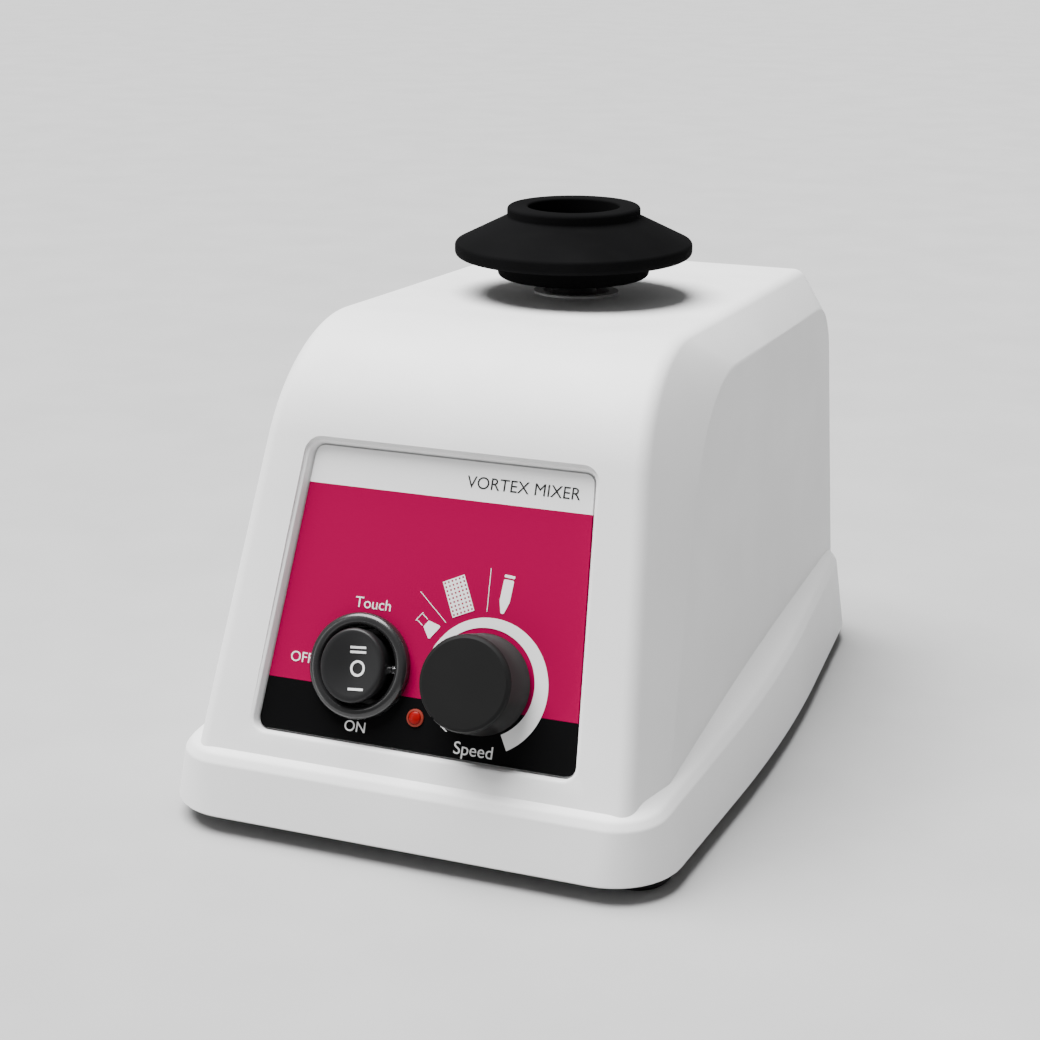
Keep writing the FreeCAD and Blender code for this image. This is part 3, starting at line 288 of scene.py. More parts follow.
def make_materials():
    return {
        "white_housing": moulded("white_housing", (0.80, 0.80, 0.80), 0.45, specular=0.35),
        "steel_plate": metal("steel_plate", (0.52, 0.53, 0.54), 0.38, (60, 1, 1)),
        "zinc_screw": metal("zinc_screw", (0.62, 0.63, 0.64), 0.3),
        "foot_rubber": rubber("foot_rubber", (0.010, 0.010, 0.010), 0.7),
        "switch_black": moulded("switch_black", (0.014, 0.014, 0.0145), 0.27, 500, 0.00001, coat=0.18),
        "rocker_black": moulded("rocker_black", (0.01, 0.01, 0.0105), 0.42, 700, 0.00001, specular=0.22),
        "shaft_steel": metal("shaft_steel", (0.6, 0.6, 0.61), 0.22),
        "brass_parts": metal("brass_parts", (0.72, 0.54, 0.25), 0.28),
        "red_lens": moulded("red_lens", (0.24, 0.002, 0.003), 0.3, 400, 0.00001, specular=0.12),
        "led_bezel": moulded("led_bezel", (0.2, 0.028, 0.018), 0.4, 400, 0.00001, specular=0.12),
        "aluminium_parts": metal("aluminium_parts", (0.7, 0.7, 0.71), 0.32),
        # Painted shade: a dark grey for the cup carrier, so its neck under the cup reads as the shadow there.
        "carrier_painted_shade": metal("carrier_painted_shade", (0.035, 0.035, 0.036), 0.6),
        "knob_black": moulded("knob_black", (0.008, 0.008, 0.008), 0.5, 1000, 0.00005, specular=0.11),
        "inlet_black": moulded("inlet_black", (0.02, 0.02, 0.021), 0.42, 900, 0.00005),
        "fuse_glass": moulded("fuse_glass", (0.75, 0.78, 0.78), 0.08, 200, 0.00001, coat=1.0),
        "cup_rubber": rubber("cup_rubber", (0.0036, 0.0036, 0.0038), 0.85, 0.02),
        "grommet_rubber": rubber("grommet_rubber", (0.6, 0.6, 0.6), 0.7),
        "stator_steel": metal("stator_steel", (0.3, 0.3, 0.31), 0.45, (1, 1, 200)),
        "copper_winding": metal("copper_winding", (0.72, 0.3, 0.14), 0.3, (1, 1, 90)),
        "fan_plastic": moulded("fan_plastic", (0.07, 0.07, 0.072), 0.4),
        "spring_steel": metal("spring_steel", (0.5, 0.5, 0.52), 0.3),
        "red_plunger": moulded("red_plunger", (0.5, 0.04, 0.03), 0.3),
        "board_green": moulded("board_green", (0.02, 0.16, 0.06), 0.3, coat=0.4),
        "board_parts": moulded("board_parts", (0.06, 0.06, 0.065), 0.45),
        "lead_jacket": rubber("lead_jacket", (0.05, 0.05, 0.055), 0.5),
        "print_white": moulded("print_white", (0.78, 0.78, 0.78), 0.4, 1500, 0.00001, specular=0.12),
        "print_dark": moulded("print_dark", (0.02, 0.02, 0.02), 0.4, 1500, 0.00001, specular=0.12),
    }


def band_material(foot, up):
    """Printed film in three bands, black below, magenta in the middle and pale above."""
    material = shader("panel_print", MAGENTA, 0.4, specular=0.0)
    offset = add(material, "ShaderNodeVectorMath", operation="SUBTRACT")
    join(material, position(material), offset.inputs[0])
    offset.inputs[1].default_value = foot
    height = add(material, "ShaderNodeVectorMath", operation="DOT_PRODUCT")
    join(material, offset.outputs["Vector"], height.inputs[0])
    height.inputs[1].default_value = up
    ramp = add(material, "ShaderNodeValToRGB")
    ramp.color_ramp.interpolation = "CONSTANT"
    full = PANEL_HEIGHT * MM
    ramp.color_ramp.elements[0].position = 0.0
    ramp.color_ramp.elements[0].color = (*BAND_BLACK, 1)
    middle = ramp.color_ramp.elements.new(BLACK_BAND * MM / full)
    middle.color = (*MAGENTA, 1)
    top = ramp.color_ramp.elements[-1]
    top.position = WHITE_BAND * MM / full
    top.color = (*BAND_PALE, 1)
    share = add(material, "ShaderNodeMath", operation="DIVIDE")
    join(material, height.outputs["Value"], share.inputs[0])
    share.inputs[1].default_value = full
    join(material, share.outputs["Value"], ramp.inputs["Fac"])
    join(material, ramp.outputs["Color"], target(material, "Base Color"))
    spread(material, noise(material, 90, 3), 0.36, 0.46, "Roughness")
    bump(material, noise(material, 1600, 2), 0.12, 0.00003)
    return material


# ---------------------------------------------------------------- mesh helpers
def mesh_object(name, verts, faces):
    mesh = bpy.data.meshes.new(name)
    mesh.from_pydata([tuple(v) for v in verts], [], faces)
    solid = bmesh.new()
    solid.from_mesh(mesh)
    bmesh.ops.recalc_face_normals(solid, faces=solid.faces)
    solid.to_mesh(mesh)
    solid.free()
    piece = bpy.data.objects.new(name, mesh)
    bpy.context.scene.collection.objects.link(piece)
    return piece


def apply_modifiers(piece):
    graph = bpy.context.evaluated_depsgraph_get()
    mesh = bpy.data.meshes.new_from_object(piece.evaluated_get(graph))
    piece.modifiers.clear()
    piece.data = mesh
    return piece


def combine(piece, other, operation):
    """Adds or cuts another solid, which is then deleted."""
    step = piece.modifiers.new("combine", "BOOLEAN")
    step.operation = operation
    step.solver = "EXACT"
    step.object = other
    bpy.context.view_layer.update()
    apply_modifiers(piece)
    bpy.data.objects.remove(other)
    return piece


def smooth(piece, angle=35):
    """Smooth shading with creases kept above an angle."""
    for polygon in piece.data.polygons:
        polygon.use_smooth = True
    solid = bmesh.new()
    solid.from_mesh(piece.data)
    limit = math.radians(angle)
    for edge in solid.edges:
        if len(edge.link_faces) == 2:
            edge.smooth = edge.calc_face_angle(0) < limit
    solid.to_mesh(piece.data)
    solid.free()
    return piece


def finish_piece(piece, body, material, nodes=()):
    piece.data.materials.clear()
    piece.data.materials.append(material)
    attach(piece, body)
    if nodes:
        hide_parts(*nodes)
    return piece


def arc_points(before, corner, after, radius, count):
    """Points of the tangent arc that rounds a corner."""
    back = (before - corner).normalized()
    ahead = (after - corner).normalized()
    half = back.angle(ahead) / 2
    reach = min(radius / math.tan(half), 0.49 * (before - corner).length, 0.49 * (after - corner).length)
    radius = reach * math.tan(half)
    centre = corner + (back + ahead).normalized() * (radius / math.sin(half))
    start = corner + back * reach - centre
    end = corner + ahead * reach - centre
    sweep = start.angle(end)
    points = []
    for i in range(count + 1):
        share = i / count
        a = math.sin((1 - share) * sweep) / math.sin(sweep)
        b = math.sin(share * sweep) / math.sin(sweep)
        points.append(centre + start * a + end * b)
    return points


def rounded_line(points, radii, count=5):
    """An open outline whose inner corners are rounded."""
    line = [points[0]]
    for i in range(1, len(points) - 1):
        if radii[i] > 0:
            line += arc_points(points[i - 1], points[i], points[i + 1], radii[i], count)
        else:
            line.append(points[i])
    return line + [points[-1]]


def lathe(name, outline, place, axis=Z, steps=96):
    """Turns (radius, height, corner radius) points about an axis, starting and ending on it."""
    corners = [Vector((r, 0, h)) * MM for r, h, soft in outline]
    line = rounded_line(corners, [soft * MM for r, h, soft in outline])
    turn = Z.rotation_difference(axis).to_matrix().to_4x4()
    place = Matrix.Translation(place) @ turn
    inner = line[1:-1]
    verts = [place @ line[0], place @ line[-1]]
    for i in range(steps):
        angle = 2 * math.pi * i / steps
        verts += [place @ Vector((p.x * math.cos(angle), p.x * math.sin(angle), p.z)) for p in inner]
    faces = []
    width = len(inner)
    for i in range(steps):
        a, b = 2 + i * width, 2 + (i + 1) % steps * width
        faces.append((0, a, b))
        faces.append((1, b + width - 1, a + width - 1))
        faces += [(a + k, a + k + 1, b + k + 1, b + k) for k in range(width - 1)]
    return smooth(mesh_object(name, verts, faces))


# ---------------------------------------------------------------- housing
def inset(points, distance):
    """Moves each side of a clockwise side view inwards."""
    moved = []
    count = len(points)
    for i, (a, b) in enumerate(points):
        sides = []
        for start, end in ((points[i - 1], (a, b)), ((a, b), points[(i + 1) % count])):
            length = math.hypot(end[0] - start[0], end[1] - start[1])
            sides.append(((end[1] - start[1]) / length, (start[0] - end[0]) / length))
        (n0a, n0b), (n1a, n1b) = sides
        share = distance / (1 + n0a * n1a + n0b * n1b)
        moved.append((a + (n0a + n1a) * share, b + (n0b + n1b) * share))
    return moved


def side_view(corners, radii, shrink):
    """Matched points along front, nose arc, top, tail arc and rear."""
    p = [Vector((0, y, z)) for y, z in inset(corners, shrink)]
    nose = arc_points(p[0], p[1], p[2], radii[1] - shrink, SEGMENTS[1])
    tail = arc_points(p[1], p[2], p[3], max(radii[2] - shrink, 1.5), SEGMENTS[3])
    line = [p[0].lerp(nose[0], i / SEGMENTS[0]) for i in range(SEGMENTS[0])]
    line += nose
    line += [nose[-1].lerp(tail[0], i / SEGMENTS[2]) for i in range(1, SEGMENTS[2])]
    line += tail
    line += [tail[-1].lerp(p[3], i / SEGMENTS[4]) for i in range(1, SEGMENTS[4] + 1)]
    return line


def brow_x(y, z, shrink):
    return 50.4 - shrink - 0.092 * (z - 21.0) - 0.018 * (y + 87.1)


def cheek_x(y, z, shrink):
    return 53.5 - shrink - 0.026 * (y + 69.0) - 0.045 * (z - 21.0)


def body_mesh(name, shrink, brow_soft=BROW_SOFT, cheek_soft=CHEEK_SOFT, columns=8):
    brow = side_view(BROW_CORNERS, BROW_RADII, shrink)
    cheek = side_view(CHEEK_CORNERS, CHEEK_RADII, shrink)
    flat_radii = [radius - FLAT_INSET for radius in CHEEK_RADII]
    inner = side_view(CHEEK_CORNERS, flat_radii, shrink + FLAT_INSET)
    rows = []
    for b, c, d in zip(brow, cheek, inner):
        edge = Vector((brow_x(b.y, b.z, shrink), b.y, b.z))
        rim = Vector((cheek_x(c.y, c.z, shrink), c.y, c.z))
        flat = Vector((cheek_x(d.y, d.z, shrink), d.y, d.z))
        middle = Vector((0, b.y, b.z))
        half = [flat] + arc_points(flat, rim, edge, cheek_soft, 3)
        half += arc_points(rim, edge, middle, brow_soft, 7)
        reach = half[-1].x
        half += [Vector((reach * (1 - i / columns), b.y, b.z)) for i in range(1, columns)]
        rows.append(half + [middle] + [Vector((-v.x, v.y, v.z)) for v in reversed(half)])
    width = len(rows[0])
    verts = [v * MM for row in rows for v in row]
    faces = []
    for i in range(len(rows) - 1):
        a, b = i * width, (i + 1) * width
        faces += [(a + k, a + k + 1, b + k + 1, b + k) for k in range(width - 1)]
    last = (len(rows) - 1) * width
    faces.append([i * width for i in range(len(rows))])
    faces.append([i * width + width - 1 for i in reversed(range(len(rows)))])
    faces.append(list(range(width)) + [last + k for k in reversed(range(width))])
    return mesh_object(name, verts, faces)


def footprint(shrink, tighter=0.0):
    corners = [(x, y) for x, y in inset(FOOTPRINT[::-1], shrink)]
    radii = [radius - tighter for radius in FOOTPRINT_RADII[::-1]]
    points = [Vector((x, y, 0)) for x, y in corners]
    line = []
    for i, corner in enumerate(points):
        count = 10 if radii[i] < BOWED else 16
        after = points[(i + 1) % len(points)]
        line += arc_points(points[i - 1], corner, after, radii[i] - shrink, count)
    return line


def skirt_mesh(name, shrink, bottom, lip):
    """The base: rounded lower lip, upright wall, soft shoulder and sloping ledge."""
    def ledge(points, rise):
        return [Vector((p.x, p.y, SKIRT_TOP + rise + LEDGE_RISE * (p.y + HALF_LENGTH))) for p in points]

    low = [Vector((p.x, p.y, bottom)) for p in footprint(shrink + lip)]
    wall = [Vector((p.x, p.y, bottom + lip)) for p in footprint(shrink)]
    drop = shrink * LEDGE_DROP
    shoulder = ledge(footprint(shrink + SKIRT_DRAFT, LEDGE_TIGHTER), -drop)
    knee = ledge(footprint(shrink + SKIRT_DRAFT + KNEE, LEDGE_TIGHTER), KNEE_RISE - drop)
    inner = ledge(footprint(LEDGE_INSET, LEDGE_TIGHTER), LEDGE_HEIGHT - drop)
    rings = [low, wall]
    soft = list(zip(*[arc_points(w, s, k, SHOULDER_SOFT, 5) for w, s, k in zip(wall, shoulder, knee)]))
    rings += [list(r) for r in soft]
    soft = list(zip(*[arc_points(s, k, i, KNEE_SOFT, 4) for s, k, i in zip(shoulder, knee, inner)]))
    rings += [list(r) for r in soft] + [inner]
    width = len(low)
    verts = [v * MM for r in rings for v in r]
    faces = []
    for i in range(len(rings) - 1):
        a, b = i * width, (i + 1) * width
        faces += [(a + k, a + (k + 1) % width, b + (k + 1) % width, b + k) for k in range(width)]
    last = (len(rings) - 1) * width
    faces.append(list(range(width)))
    faces.append([last + k for k in range(width)])
    return mesh_object(name, verts, faces)


# ---------------------------------------------------------------- panel
def on_panel(u, v, w=0.0):
    """A point from the panel's own axes, in millimetres: across, up and out."""
    return FOOT + (Vector((u, 0, 0)) + UP * v + OUT * w) * MM


def rounded_outline(corners, radius, count=6):
    points = [Vector((u, v, 0)) for u, v in corners]
    line = []
    for i, corner in enumerate(points):
        line += arc_points(points[i - 1], corner, points[(i + 1) % len(points)], radius, count)
    return [(p.x, p.y) for p in line]


def panel_outline(gap):
    low, high = PANEL_HALF_LOW + gap, PANEL_HALF_HIGH + gap
    corners = [(-low, -gap), (low, -gap), (high, PANEL_HEIGHT + gap), (-high, PANEL_HEIGHT + gap)]
    return rounded_outline(corners, PANEL_CORNER + gap)


def panel_stack(name, outlines, heights):
    """A solid through matched (u, v) outlines at rising heights above the panel."""
    count = len(outlines[0])
    verts = [on_panel(u, v, w) for outline, w in zip(outlines, heights) for u, v in outline]
    faces = [list(range(count)), [len(verts) - count + k for k in range(count)]]
    for ring in range(len(outlines) - 1):
        a, b = ring * count, (ring + 1) * count
        faces += [(a + k, a + (k + 1) % count, b + (k + 1) % count, b + k) for k in range(count)]
    return mesh_object(name, verts, faces)


def recess_cutter():
    """The label's pocket, widening in a soft bevel towards the front surface."""
    steps = [
        (0.18, -PANEL_THICKNESS), (0.45, -0.3), (0.8, 1.3), (0.95, 1.53),
        (1.2, 1.67), (1.7, 1.75), (1.7, 6.0),
    ]
    outlines = [panel_outline(gap) for gap, w in steps]
    return panel_stack("recess", outlines, [w for gap, w in steps])


def backing_block():
    corners = [(-40, -4), (40, -4), (40, PANEL_HEIGHT + 5), (-40, PANEL_HEIGHT + 5)]
    return panel_stack("backing", [corners, corners], [-BACKING_DEPTH, 12])


def drum(name, radius, low, high, centre, axis):
    outline = [(0, low, 0), (radius, low, 0), (radius, high, 0), (0, high, 0)]
    return lathe(name, outline, centre, axis, 64)


def middle_of(node):
    low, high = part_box(node)
    return (low + high) / 2


def rear_block(name, width, height, depth):
    """A block through the rear wall, square to it, at the inlet."""
    centre = Vector((0, REAR_Y * MM, middle_of("inlet_socket").z))
    lean = Matrix.Rotation(REAR_LEAN, 4, "X")
    half = Vector((width, depth, height)) * (MM / 2)
    corners = [(x, y, z) for x in (-1, 1) for y in (-1, 1) for z in (-1, 1)]
    verts = [centre + lean @ Vector((x * half.x, y * half.y, z * half.z)) for x, y, z in corners]
    faces = [(0, 1, 3, 2), (4, 6, 7, 5), (0, 4, 5, 1), (2, 3, 7, 6), (0, 2, 6, 4), (1, 5, 7, 3)]
    return mesh_object(name, verts, faces)


def housing_cavity():
    cavity = body_mesh("body_cavity", WALL)
    combine(cavity, skirt_mesh("skirt_cavity", WALL, 3.0, 0.3), "UNION")
    combine(cavity, backing_block(), "DIFFERENCE")
    for x, y in BOSS_PLACES:
        boss = drum("boss", BOSS_RADIUS, 7, 30, Vector((x, y, 0)) * MM, Z)
        combine(cavity, boss, "DIFFERENCE")
    return cavity


def make_housing(materials):
    shell = body_mesh("housing", 0.0)
    combine(shell, skirt_mesh("skirt", 0.0, SKIRT_LOW, SKIRT_LIP), "UNION")
    combine(shell, housing_cavity(), "DIFFERENCE")
    combine(shell, recess_cutter(), "DIFFERENCE")
    switch_u = middle_of("switch_housing").x / MM
    knob_u = knob_joint["pos_m"][0] / MM
    led = middle_of("led_lens") - FOOT
    combine(shell, drum("switch_hole", 10.0, -12, 4, on_panel(switch_u, CONTROL_V), OUT), "DIFFERENCE")
    combine(shell, drum("knob_hole", 3.6, -12, 4, on_panel(knob_u, CONTROL_V), OUT), "DIFFERENCE")
    combine(shell, drum("led_hole", 1.85, -12, 4, on_panel(led.x / MM, led.dot(UP) / MM), OUT), "DIFFERENCE")
    lip_low, lip_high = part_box("splash_grommet")
    hole = (lip_high.x - lip_low.x) / 2 / MM - GROMMET_LIP
    hub = Vector((0, middle_of("motor_shaft").y, 0))
    combine(shell, drum("top_hole", hole, 90, 120, hub, Z), "DIFFERENCE")
    combine(shell, rear_block("inlet_hole", INLET_HOLE, INLET_HOLE, INLET_HOLE_DEPTH), "DIFFERENCE")
    smooth(shell, CREASE_ANGLE)
    return finish_piece(shell, "base", materials["white_housing"], ["housing_shell"])


# ---------------------------------------------------------------- cup, switch, lamp
def make_cup(materials):
    """The flanged rubber cup, turned about the cup axis with soft edges."""
    axis = Vector((middle_of("rubber_cup").x, middle_of("rubber_cup").y, 0))
    outline = [
        (0, 112.0, 0), (10.1, 112.0, 0), (10.1, 109.2, 0.2), (18.3, 109.2, 1.0), (18.3, 113.2, 0.9),
        (28.6, 114.3, 1.2), (28.6, 117.3, 1.1), (16.0, 123.5, 0.5), (16.0, 126.0, 0.9),
        (11.0, 126.0, 0.6), (11.0, 120.6, 3.0), (8.2, 115.2, 3.0), (0, 113.4, 0),
    ]
    cup = lathe("rubber_cup_soft", outline, axis, steps=128)
    finish_piece(cup, "cup_head", materials["cup_rubber"], ["rubber_cup"])


def make_bezel(materials):
    """The round switch body with its domed, glossy collar."""
    centre = on_panel(middle_of("switch_housing").x / MM, CONTROL_V)
    outline = [
        (0, -18, 0), (9.9, -18, 0.5), (9.9, 0.02, 0), (11.6, 0.02, 0.2), (11.6, 2.75, 1.9),
        (8.9, 2.75, 1.1), (8.6, 0.4, 0.3), (8.6, -7, 0.3), (0, -7, 0),
    ]
    bezel = lathe("switch_bezel", outline, centre, OUT, 112)
    finish_piece(bezel, "base", materials["switch_black"], ["switch_housing"])


def rocker_face(u, v):
    """Height of the dished rocker face at an offset from its centre."""
    share = min(1.0, (u / ROCKER_HALF_U) ** 2 + (v / ROCKER_HALF_V) ** 2)
    return ROCKER_TOP - ROCKER_DISH * (1 - share) ** 1.5


def make_rocker(materials):
    centre_u = middle_of("switch_rocker").x / MM
    steps = 96
    rings = [
        (0.85, -5.0), (0.92, 0.4), (0.985, 2.6), (1.0, 4.4),
        (0.985, 4.95), (0.955, 5.28), (0.91, ROCKER_TOP),
    ]
    for share in (0.8, 0.65, 0.5, 0.35, 0.2, 0.08):
        rings.append((share, None))
    verts = []
    for share, height in rings:
        for i in range(steps):
            angle = 2 * math.pi * i / steps
            u, v = ROCKER_HALF_U * share * math.cos(angle), ROCKER_HALF_V * share * math.sin(angle)
            w = rocker_face(u, v) if height is None else height
            verts.append(on_panel(centre_u + u, CONTROL_V + v, w))
    faces = [list(range(steps)), [len(verts) - steps + k for k in range(steps)]]
    for ring in range(len(rings) - 1):
        a, b = ring * steps, (ring + 1) * steps
        faces += [(a + k, a + (k + 1) % steps, b + (k + 1) % steps, b + k) for k in range(steps)]
    rocker = smooth(mesh_object("rocker_key", verts, faces), 40)
    finish_piece(rocker, "rocker", materials["rocker_black"], ["switch_rocker"])
    return centre_u


def band_piece(name, inner, outer, closed, place):
    """A flat printed band between two matched lines, laid on a surface by place(u, v, lift)."""
    count = len(inner)
    verts = []
    for lift in (0, 1):
        verts += [place(u, v, lift) for u, v in inner] + [place(u, v, lift) for u, v in outer]
    faces = []
    for k in range(count if closed else count - 1):
        n = (k + 1) % count
        faces.append((k, n, count + n, count + k))
        faces.append((2 * count + k, 2 * count + n, 3 * count + n, 3 * count + k))
        faces.append((k, n, 2 * count + n, 2 * count + k))
        faces.append((count + k, count + n, 3 * count + n, 3 * count + k))
    if not closed:
        for k in (0, count - 1):
            faces.append((k, count + k, 3 * count + k, 2 * count + k))
    return mesh_object(name, verts, faces)


def on_label(u, v, lift):
    return on_panel(u, v, PRINT_LIFT if lift else -PRINT_SINK)


def bar_lines(start, end, width, count=8):
    """Two parallel lines either side of a straight stroke."""
    a, b = Vector(start), Vector(end)
    side = Vector((a.y - b.y, b.x - a.x)).normalized() * (width / 2)
    steps = [a.lerp(b, i / count) for i in range(count + 1)]
    return [tuple(p - side) for p in steps], [tuple(p + side) for p in steps]


def make_rocker_marks(centre_u, materials):
    def on_rocker(across, up, lift):
        u = MARK_SHIFT + across * math.cos(MARK_TURN) - up * math.sin(MARK_TURN)
        v = up * math.cos(MARK_TURN) + across * math.sin(MARK_TURN)
        height = rocker_face(u, v) + (PRINT_LIFT if lift else -PRINT_SINK)
        return on_panel(centre_u + u, CONTROL_V + v, height)

    strokes = [((-1.9, 4.0), (1.9, 4.0)), ((-1.9, 3.0), (1.9, 3.0)), ((-1.8, -5.0), (1.8, -5.0))]
    for i, (start, end) in enumerate(strokes):
        inner, outer = bar_lines(start, end, MARK_STROKE)
        mark = band_piece(f"rocker_bar_{i + 1}", inner, outer, False, on_rocker)
        finish_piece(mark, "rocker", materials["print_white"])
    inner, outer = ring_lines((0, -0.5), 1.25, 1.75, 40)
    mark = band_piece("rocker_circle", inner, outer, True, on_rocker)
    finish_piece(mark, "rocker", materials["print_white"])


def ring_lines(centre, inner_radius, outer_radius, count):
    lines = []
    for radius in (inner_radius, outer_radius):
        angles = [2 * math.pi * i / count for i in range(count)]
        lines.append([(centre[0] + radius * math.cos(a), centre[1] + radius * math.sin(a)) for a in angles])
    return lines


def make_lamp(materials):
    offset = middle_of("led_lens") - FOOT
    centre = on_panel(offset.x / MM, offset.dot(UP) / MM)
    rim = [(1.5, -4.5), (1.8, -4.5), (1.8, -0.2), (1.95, 0.0), (1.95, 0.3), (1.5, 0.45)]
    lens = [(0, -5, 0), (1.46, -5, 0), (1.46, 0.55, 0.5), (0, 1.0, 0)]
    piece = lathe("lamp_lens", lens, centre, OUT, 48)
    finish_piece(piece, "base", materials["red_lens"], ["led_lens"])
    piece = ring_lathe("lamp_rim", rim, centre, OUT, 48)
    finish_piece(piece, "base", materials["led_bezel"], ["led_holder"])


def ring_lathe(name, section, place, axis, steps):
    """Turns a closed section that stays clear of the axis."""
    turn = Matrix.Translation(place) @ Z.rotation_difference(axis).to_matrix().to_4x4()
    verts = []
    for i in range(steps):
        angle = 2 * math.pi * i / steps
        verts += [turn @ (Vector((r * math.cos(angle), r * math.sin(angle), h)) * MM) for r, h in section]
    width = len(section)
    faces = []
    for i in range(steps):
        a, b = i * width, (i + 1) % steps * width
        faces += [(a + k, a + (k + 1) % width, b + (k + 1) % width, b + k) for k in range(width)]
    return smooth(mesh_object(name, verts, faces), 30)


def make_springs(materials):
    """The cradle springs, copied into a mesh of their own and held on the base."""
    source = frame["nodes"]["cradle_springs"]
    springs = bpy.data.objects.new("cradle_springs_live", source.data.copy())
    bpy.context.scene.collection.objects.link(springs)
    springs.matrix_world = source.matrix_world
    finish_piece(springs, "base", materials["spring_steel"], ["cradle_springs"])
    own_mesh(springs)


# ---------------------------------------------------------------- printed graphics
def printed(piece, materials, shade="print_white"):
    return finish_piece(piece, "base", materials[shade])


def make_speed_arc(materials):
    """The scale round the knob, widening clockwise from the slow end."""
    inner, outer = [], []
    count = 96
    for i in range(count + 1):
        share = i / count
        angle = math.radians(ARC_START + (ARC_END - ARC_START) * share)
        far = 13.1 + 0.9 * min(1.0, 4 * share) + 0.9 * share ** 2
        near = far - 0.15 - 3.5 * share ** 0.75
        for line, radius in ((inner, near), (outer, far)):
            u = KNOB_CENTRE[0] + radius * math.cos(angle)
            v = KNOB_CENTRE[1] + radius * math.sin(angle)
            line.append((u, v))
    printed(band_piece("speed_arc", inner, outer, False, on_label), materials)


def stroke(name, start, end, width, materials):
    inner, outer = bar_lines(start, end, width, 2)
    return printed(band_piece(name, inner, outer, False, on_label), materials)


def label_shape(name, outline, materials, shade="print_white"):
    piece = panel_stack(name, [outline, outline], [-PRINT_SINK, PRINT_LIFT])
    return printed(piece, materials, shade)


def turned_points(points, centre, toward):
    """Places icon points so that the icon's own down axis points toward a direction."""
    down = Vector(toward).normalized()
    across = Vector((-down.y, down.x))
    return [tuple(Vector(centre) + across * x - down * y) for x, y in points]


def make_flask_icon(materials):
    centre, toward = (0.0, 26.9), (0.80, -0.60)
    body = [(-2.0, -1.9), (2.0, -1.9), (0.9, 1.0), (-0.9, 1.0)]
    label_shape("icon_flask_body", rounded_outline(turned_points(body, centre, toward), 0.3, 3), materials)
    necks = [((-0.9, 1.35), (-0.9, 3.0)), ((0.9, 1.35), (0.9, 3.0)), ((-1.25, 3.2), (1.25, 3.2))]
    for i, (start, end) in enumerate(necks):
        a, b = turned_points([start, end], centre, toward)
        stroke(f"icon_flask_neck_{i + 1}", a, b, 0.16, materials)


def make_plate_icon(materials):
    """A small well plate: a pale tablet with rows of open wells."""
    corner, along, across = Vector((5.1, 29.5)), Vector((-3.4, 7.3)), Vector((4.7, 2.2))
    rows, columns, open_share = 9, 6, 0.48
    rise = grid_lines(rows, open_share)
    side = grid_lines(columns, open_share)
    solid = bmesh.new()
    grid = [[solid.verts.new(on_label(*(corner + along * r + across * c), 0)) for c in side] for r in rise]
    for i in range(len(rise) - 1):
        for j in range(len(side) - 1):
            if i % 2 == 0 or j % 2 == 0:
                solid.faces.new((grid[i][j], grid[i][j + 1], grid[i + 1][j + 1], grid[i + 1][j]))
    raised = bmesh.ops.extrude_face_region(solid, geom=list(solid.faces))["geom"]
    lift = OUT * (PRINT_LIFT + PRINT_SINK) * MM
    bmesh.ops.translate(solid, vec=lift, verts=[v for v in raised if isinstance(v, bmesh.types.BMVert)])
    bmesh.ops.recalc_face_normals(solid, faces=solid.faces)
    mesh = bpy.data.meshes.new("icon_well_plate")
    solid.to_mesh(mesh)
    solid.free()
    piece = bpy.data.objects.new("icon_well_plate", mesh)
    bpy.context.scene.collection.objects.link(piece)
    printed(piece, materials)


def grid_lines(count, open_share):
    """Shares along a side where walls and openings meet, in turn."""
    wall = (1 - open_share) / count
    lines = [0.0]
    for i in range(count):
        lines.append((i + 0.5) / count - open_share / count / 2)
        lines.append(lines[-1] + open_share / count)
    return lines + [1.0]


def make_tube_icon(materials):
    centre, toward = (16.5, 36.0), (-0.08, -1.0)
    cap = [(-1.2, 3.5), (1.2, 3.5), (1.2, 4.1), (-1.2, 4.1)]
    tube = [(-1.15, -1.6), (-0.35, -4.2), (0.35, -4.2), (1.15, -1.6), (1.15, 3.1), (-1.15, 3.1)]
    label_shape("icon_tube_cap", rounded_outline(turned_points(cap, centre, toward), 0.2, 3), materials)
    label_shape("icon_tube", rounded_outline(turned_points(tube, centre, toward), 0.3, 3), materials)


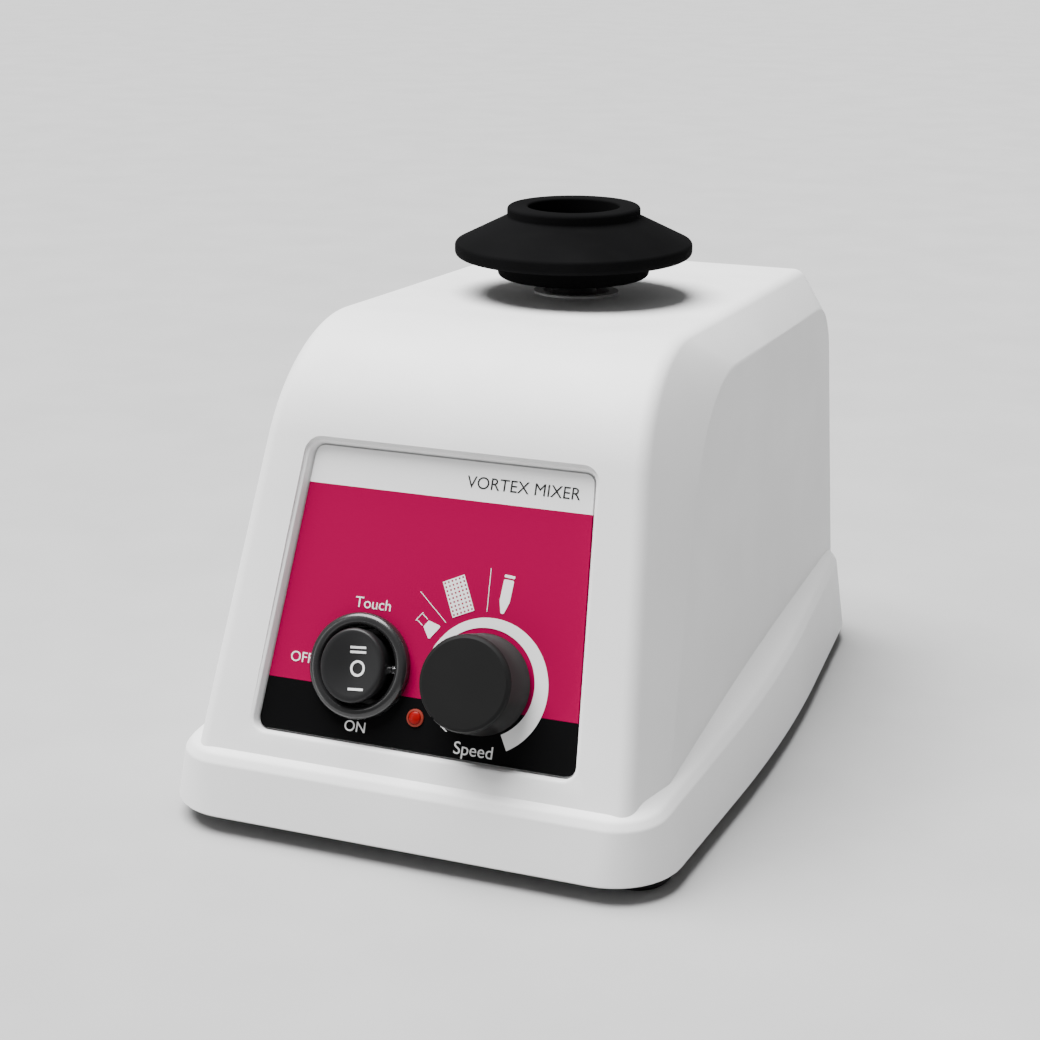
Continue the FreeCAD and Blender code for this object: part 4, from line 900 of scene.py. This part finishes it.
def words(name, text, centre, width, materials, shade="print_white"):
    """Raised print: plain letters laid on the label, scaled to a width."""
    curve = bpy.data.curves.new(name, "FONT")
    curve.body = text
    curve.extrude = 0.02
    letters = bpy.data.objects.new(name + "_letters", curve)
    bpy.context.scene.collection.objects.link(letters)
    bpy.context.view_layer.update()
    mesh = bpy.data.meshes.new_from_object(letters.evaluated_get(bpy.context.evaluated_depsgraph_get()))
    bpy.data.objects.remove(letters)
    xs = [v.co.x for v in mesh.vertices]
    ys = [v.co.y for v in mesh.vertices]
    scale = width / (max(xs) - min(xs))
    middle = Vector(((max(xs) + min(xs)) / 2, (max(ys) + min(ys)) / 2))
    for vertex in mesh.vertices:
        u = centre[0] + (vertex.co.x - middle.x) * scale
        v = centre[1] + (vertex.co.y - middle.y) * scale
        vertex.co = on_label(u, v, vertex.co.z > 0)
    piece = bpy.data.objects.new(name, mesh)
    bpy.context.scene.collection.objects.link(piece)
    return printed(piece, materials, shade)


def make_graphics(materials):
    make_speed_arc(materials)
    stroke("scale_tick_slow", (-3.1, 34.1), (3.7, 28.3), TICK_WIDTH, materials)
    stroke("scale_tick_fast", (12.3, 41.1), (12.7, 31.8), TICK_WIDTH, materials)
    make_flask_icon(materials)
    make_plate_icon(materials)
    make_tube_icon(materials)
    words("word_touch", "Touch", (-13.8, 30.1), 8.5, materials)
    words("word_off", "OFF", (-28.9, 16.4), 5.4, materials)
    words("word_on", "ON", (-14.0, 3.3), 4.9, materials)
    words("word_speed", "Speed", (14.0, 1.95), 8.9, materials)
    words("word_vortex_mixer", "VORTEX MIXER", (17.0, 58.9), 26.0, materials, "print_dark")


# ---------------------------------------------------------------- build
make_camera()
make_lights()
materials = make_materials()
materials["panel_print"] = band_material(FOOT, UP)
slots = {s["node"]: s["material_slot"] for s in frame["record"]["subparts"]}
# Painted shade: the cup carrier takes the dark grey in place of its own material, so it reads as the shadow under
# the cup.
painted_shade_overrides = {"cup_carrier": "carrier_painted_shade"}
for node, piece in frame["nodes"].items():
    piece.data.materials.clear()
    piece.data.materials.append(materials[painted_shade_overrides.get(node, slots[node])])
make_housing(materials)
make_cup(materials)
make_bezel(materials)
make_rocker_marks(make_rocker(materials), materials)
make_lamp(materials)
make_springs(materials)
make_graphics(materials)

floor = mesh_object("floor", [(-4, -4, 0), (4, -4, 0), (4, 4, 0), (-4, 4, 0)], [(0, 1, 2, 3)])
floor.data.materials.append(moulded("floor_paint", (0.37, 0.37, 0.37), 0.7, specular=0.1))
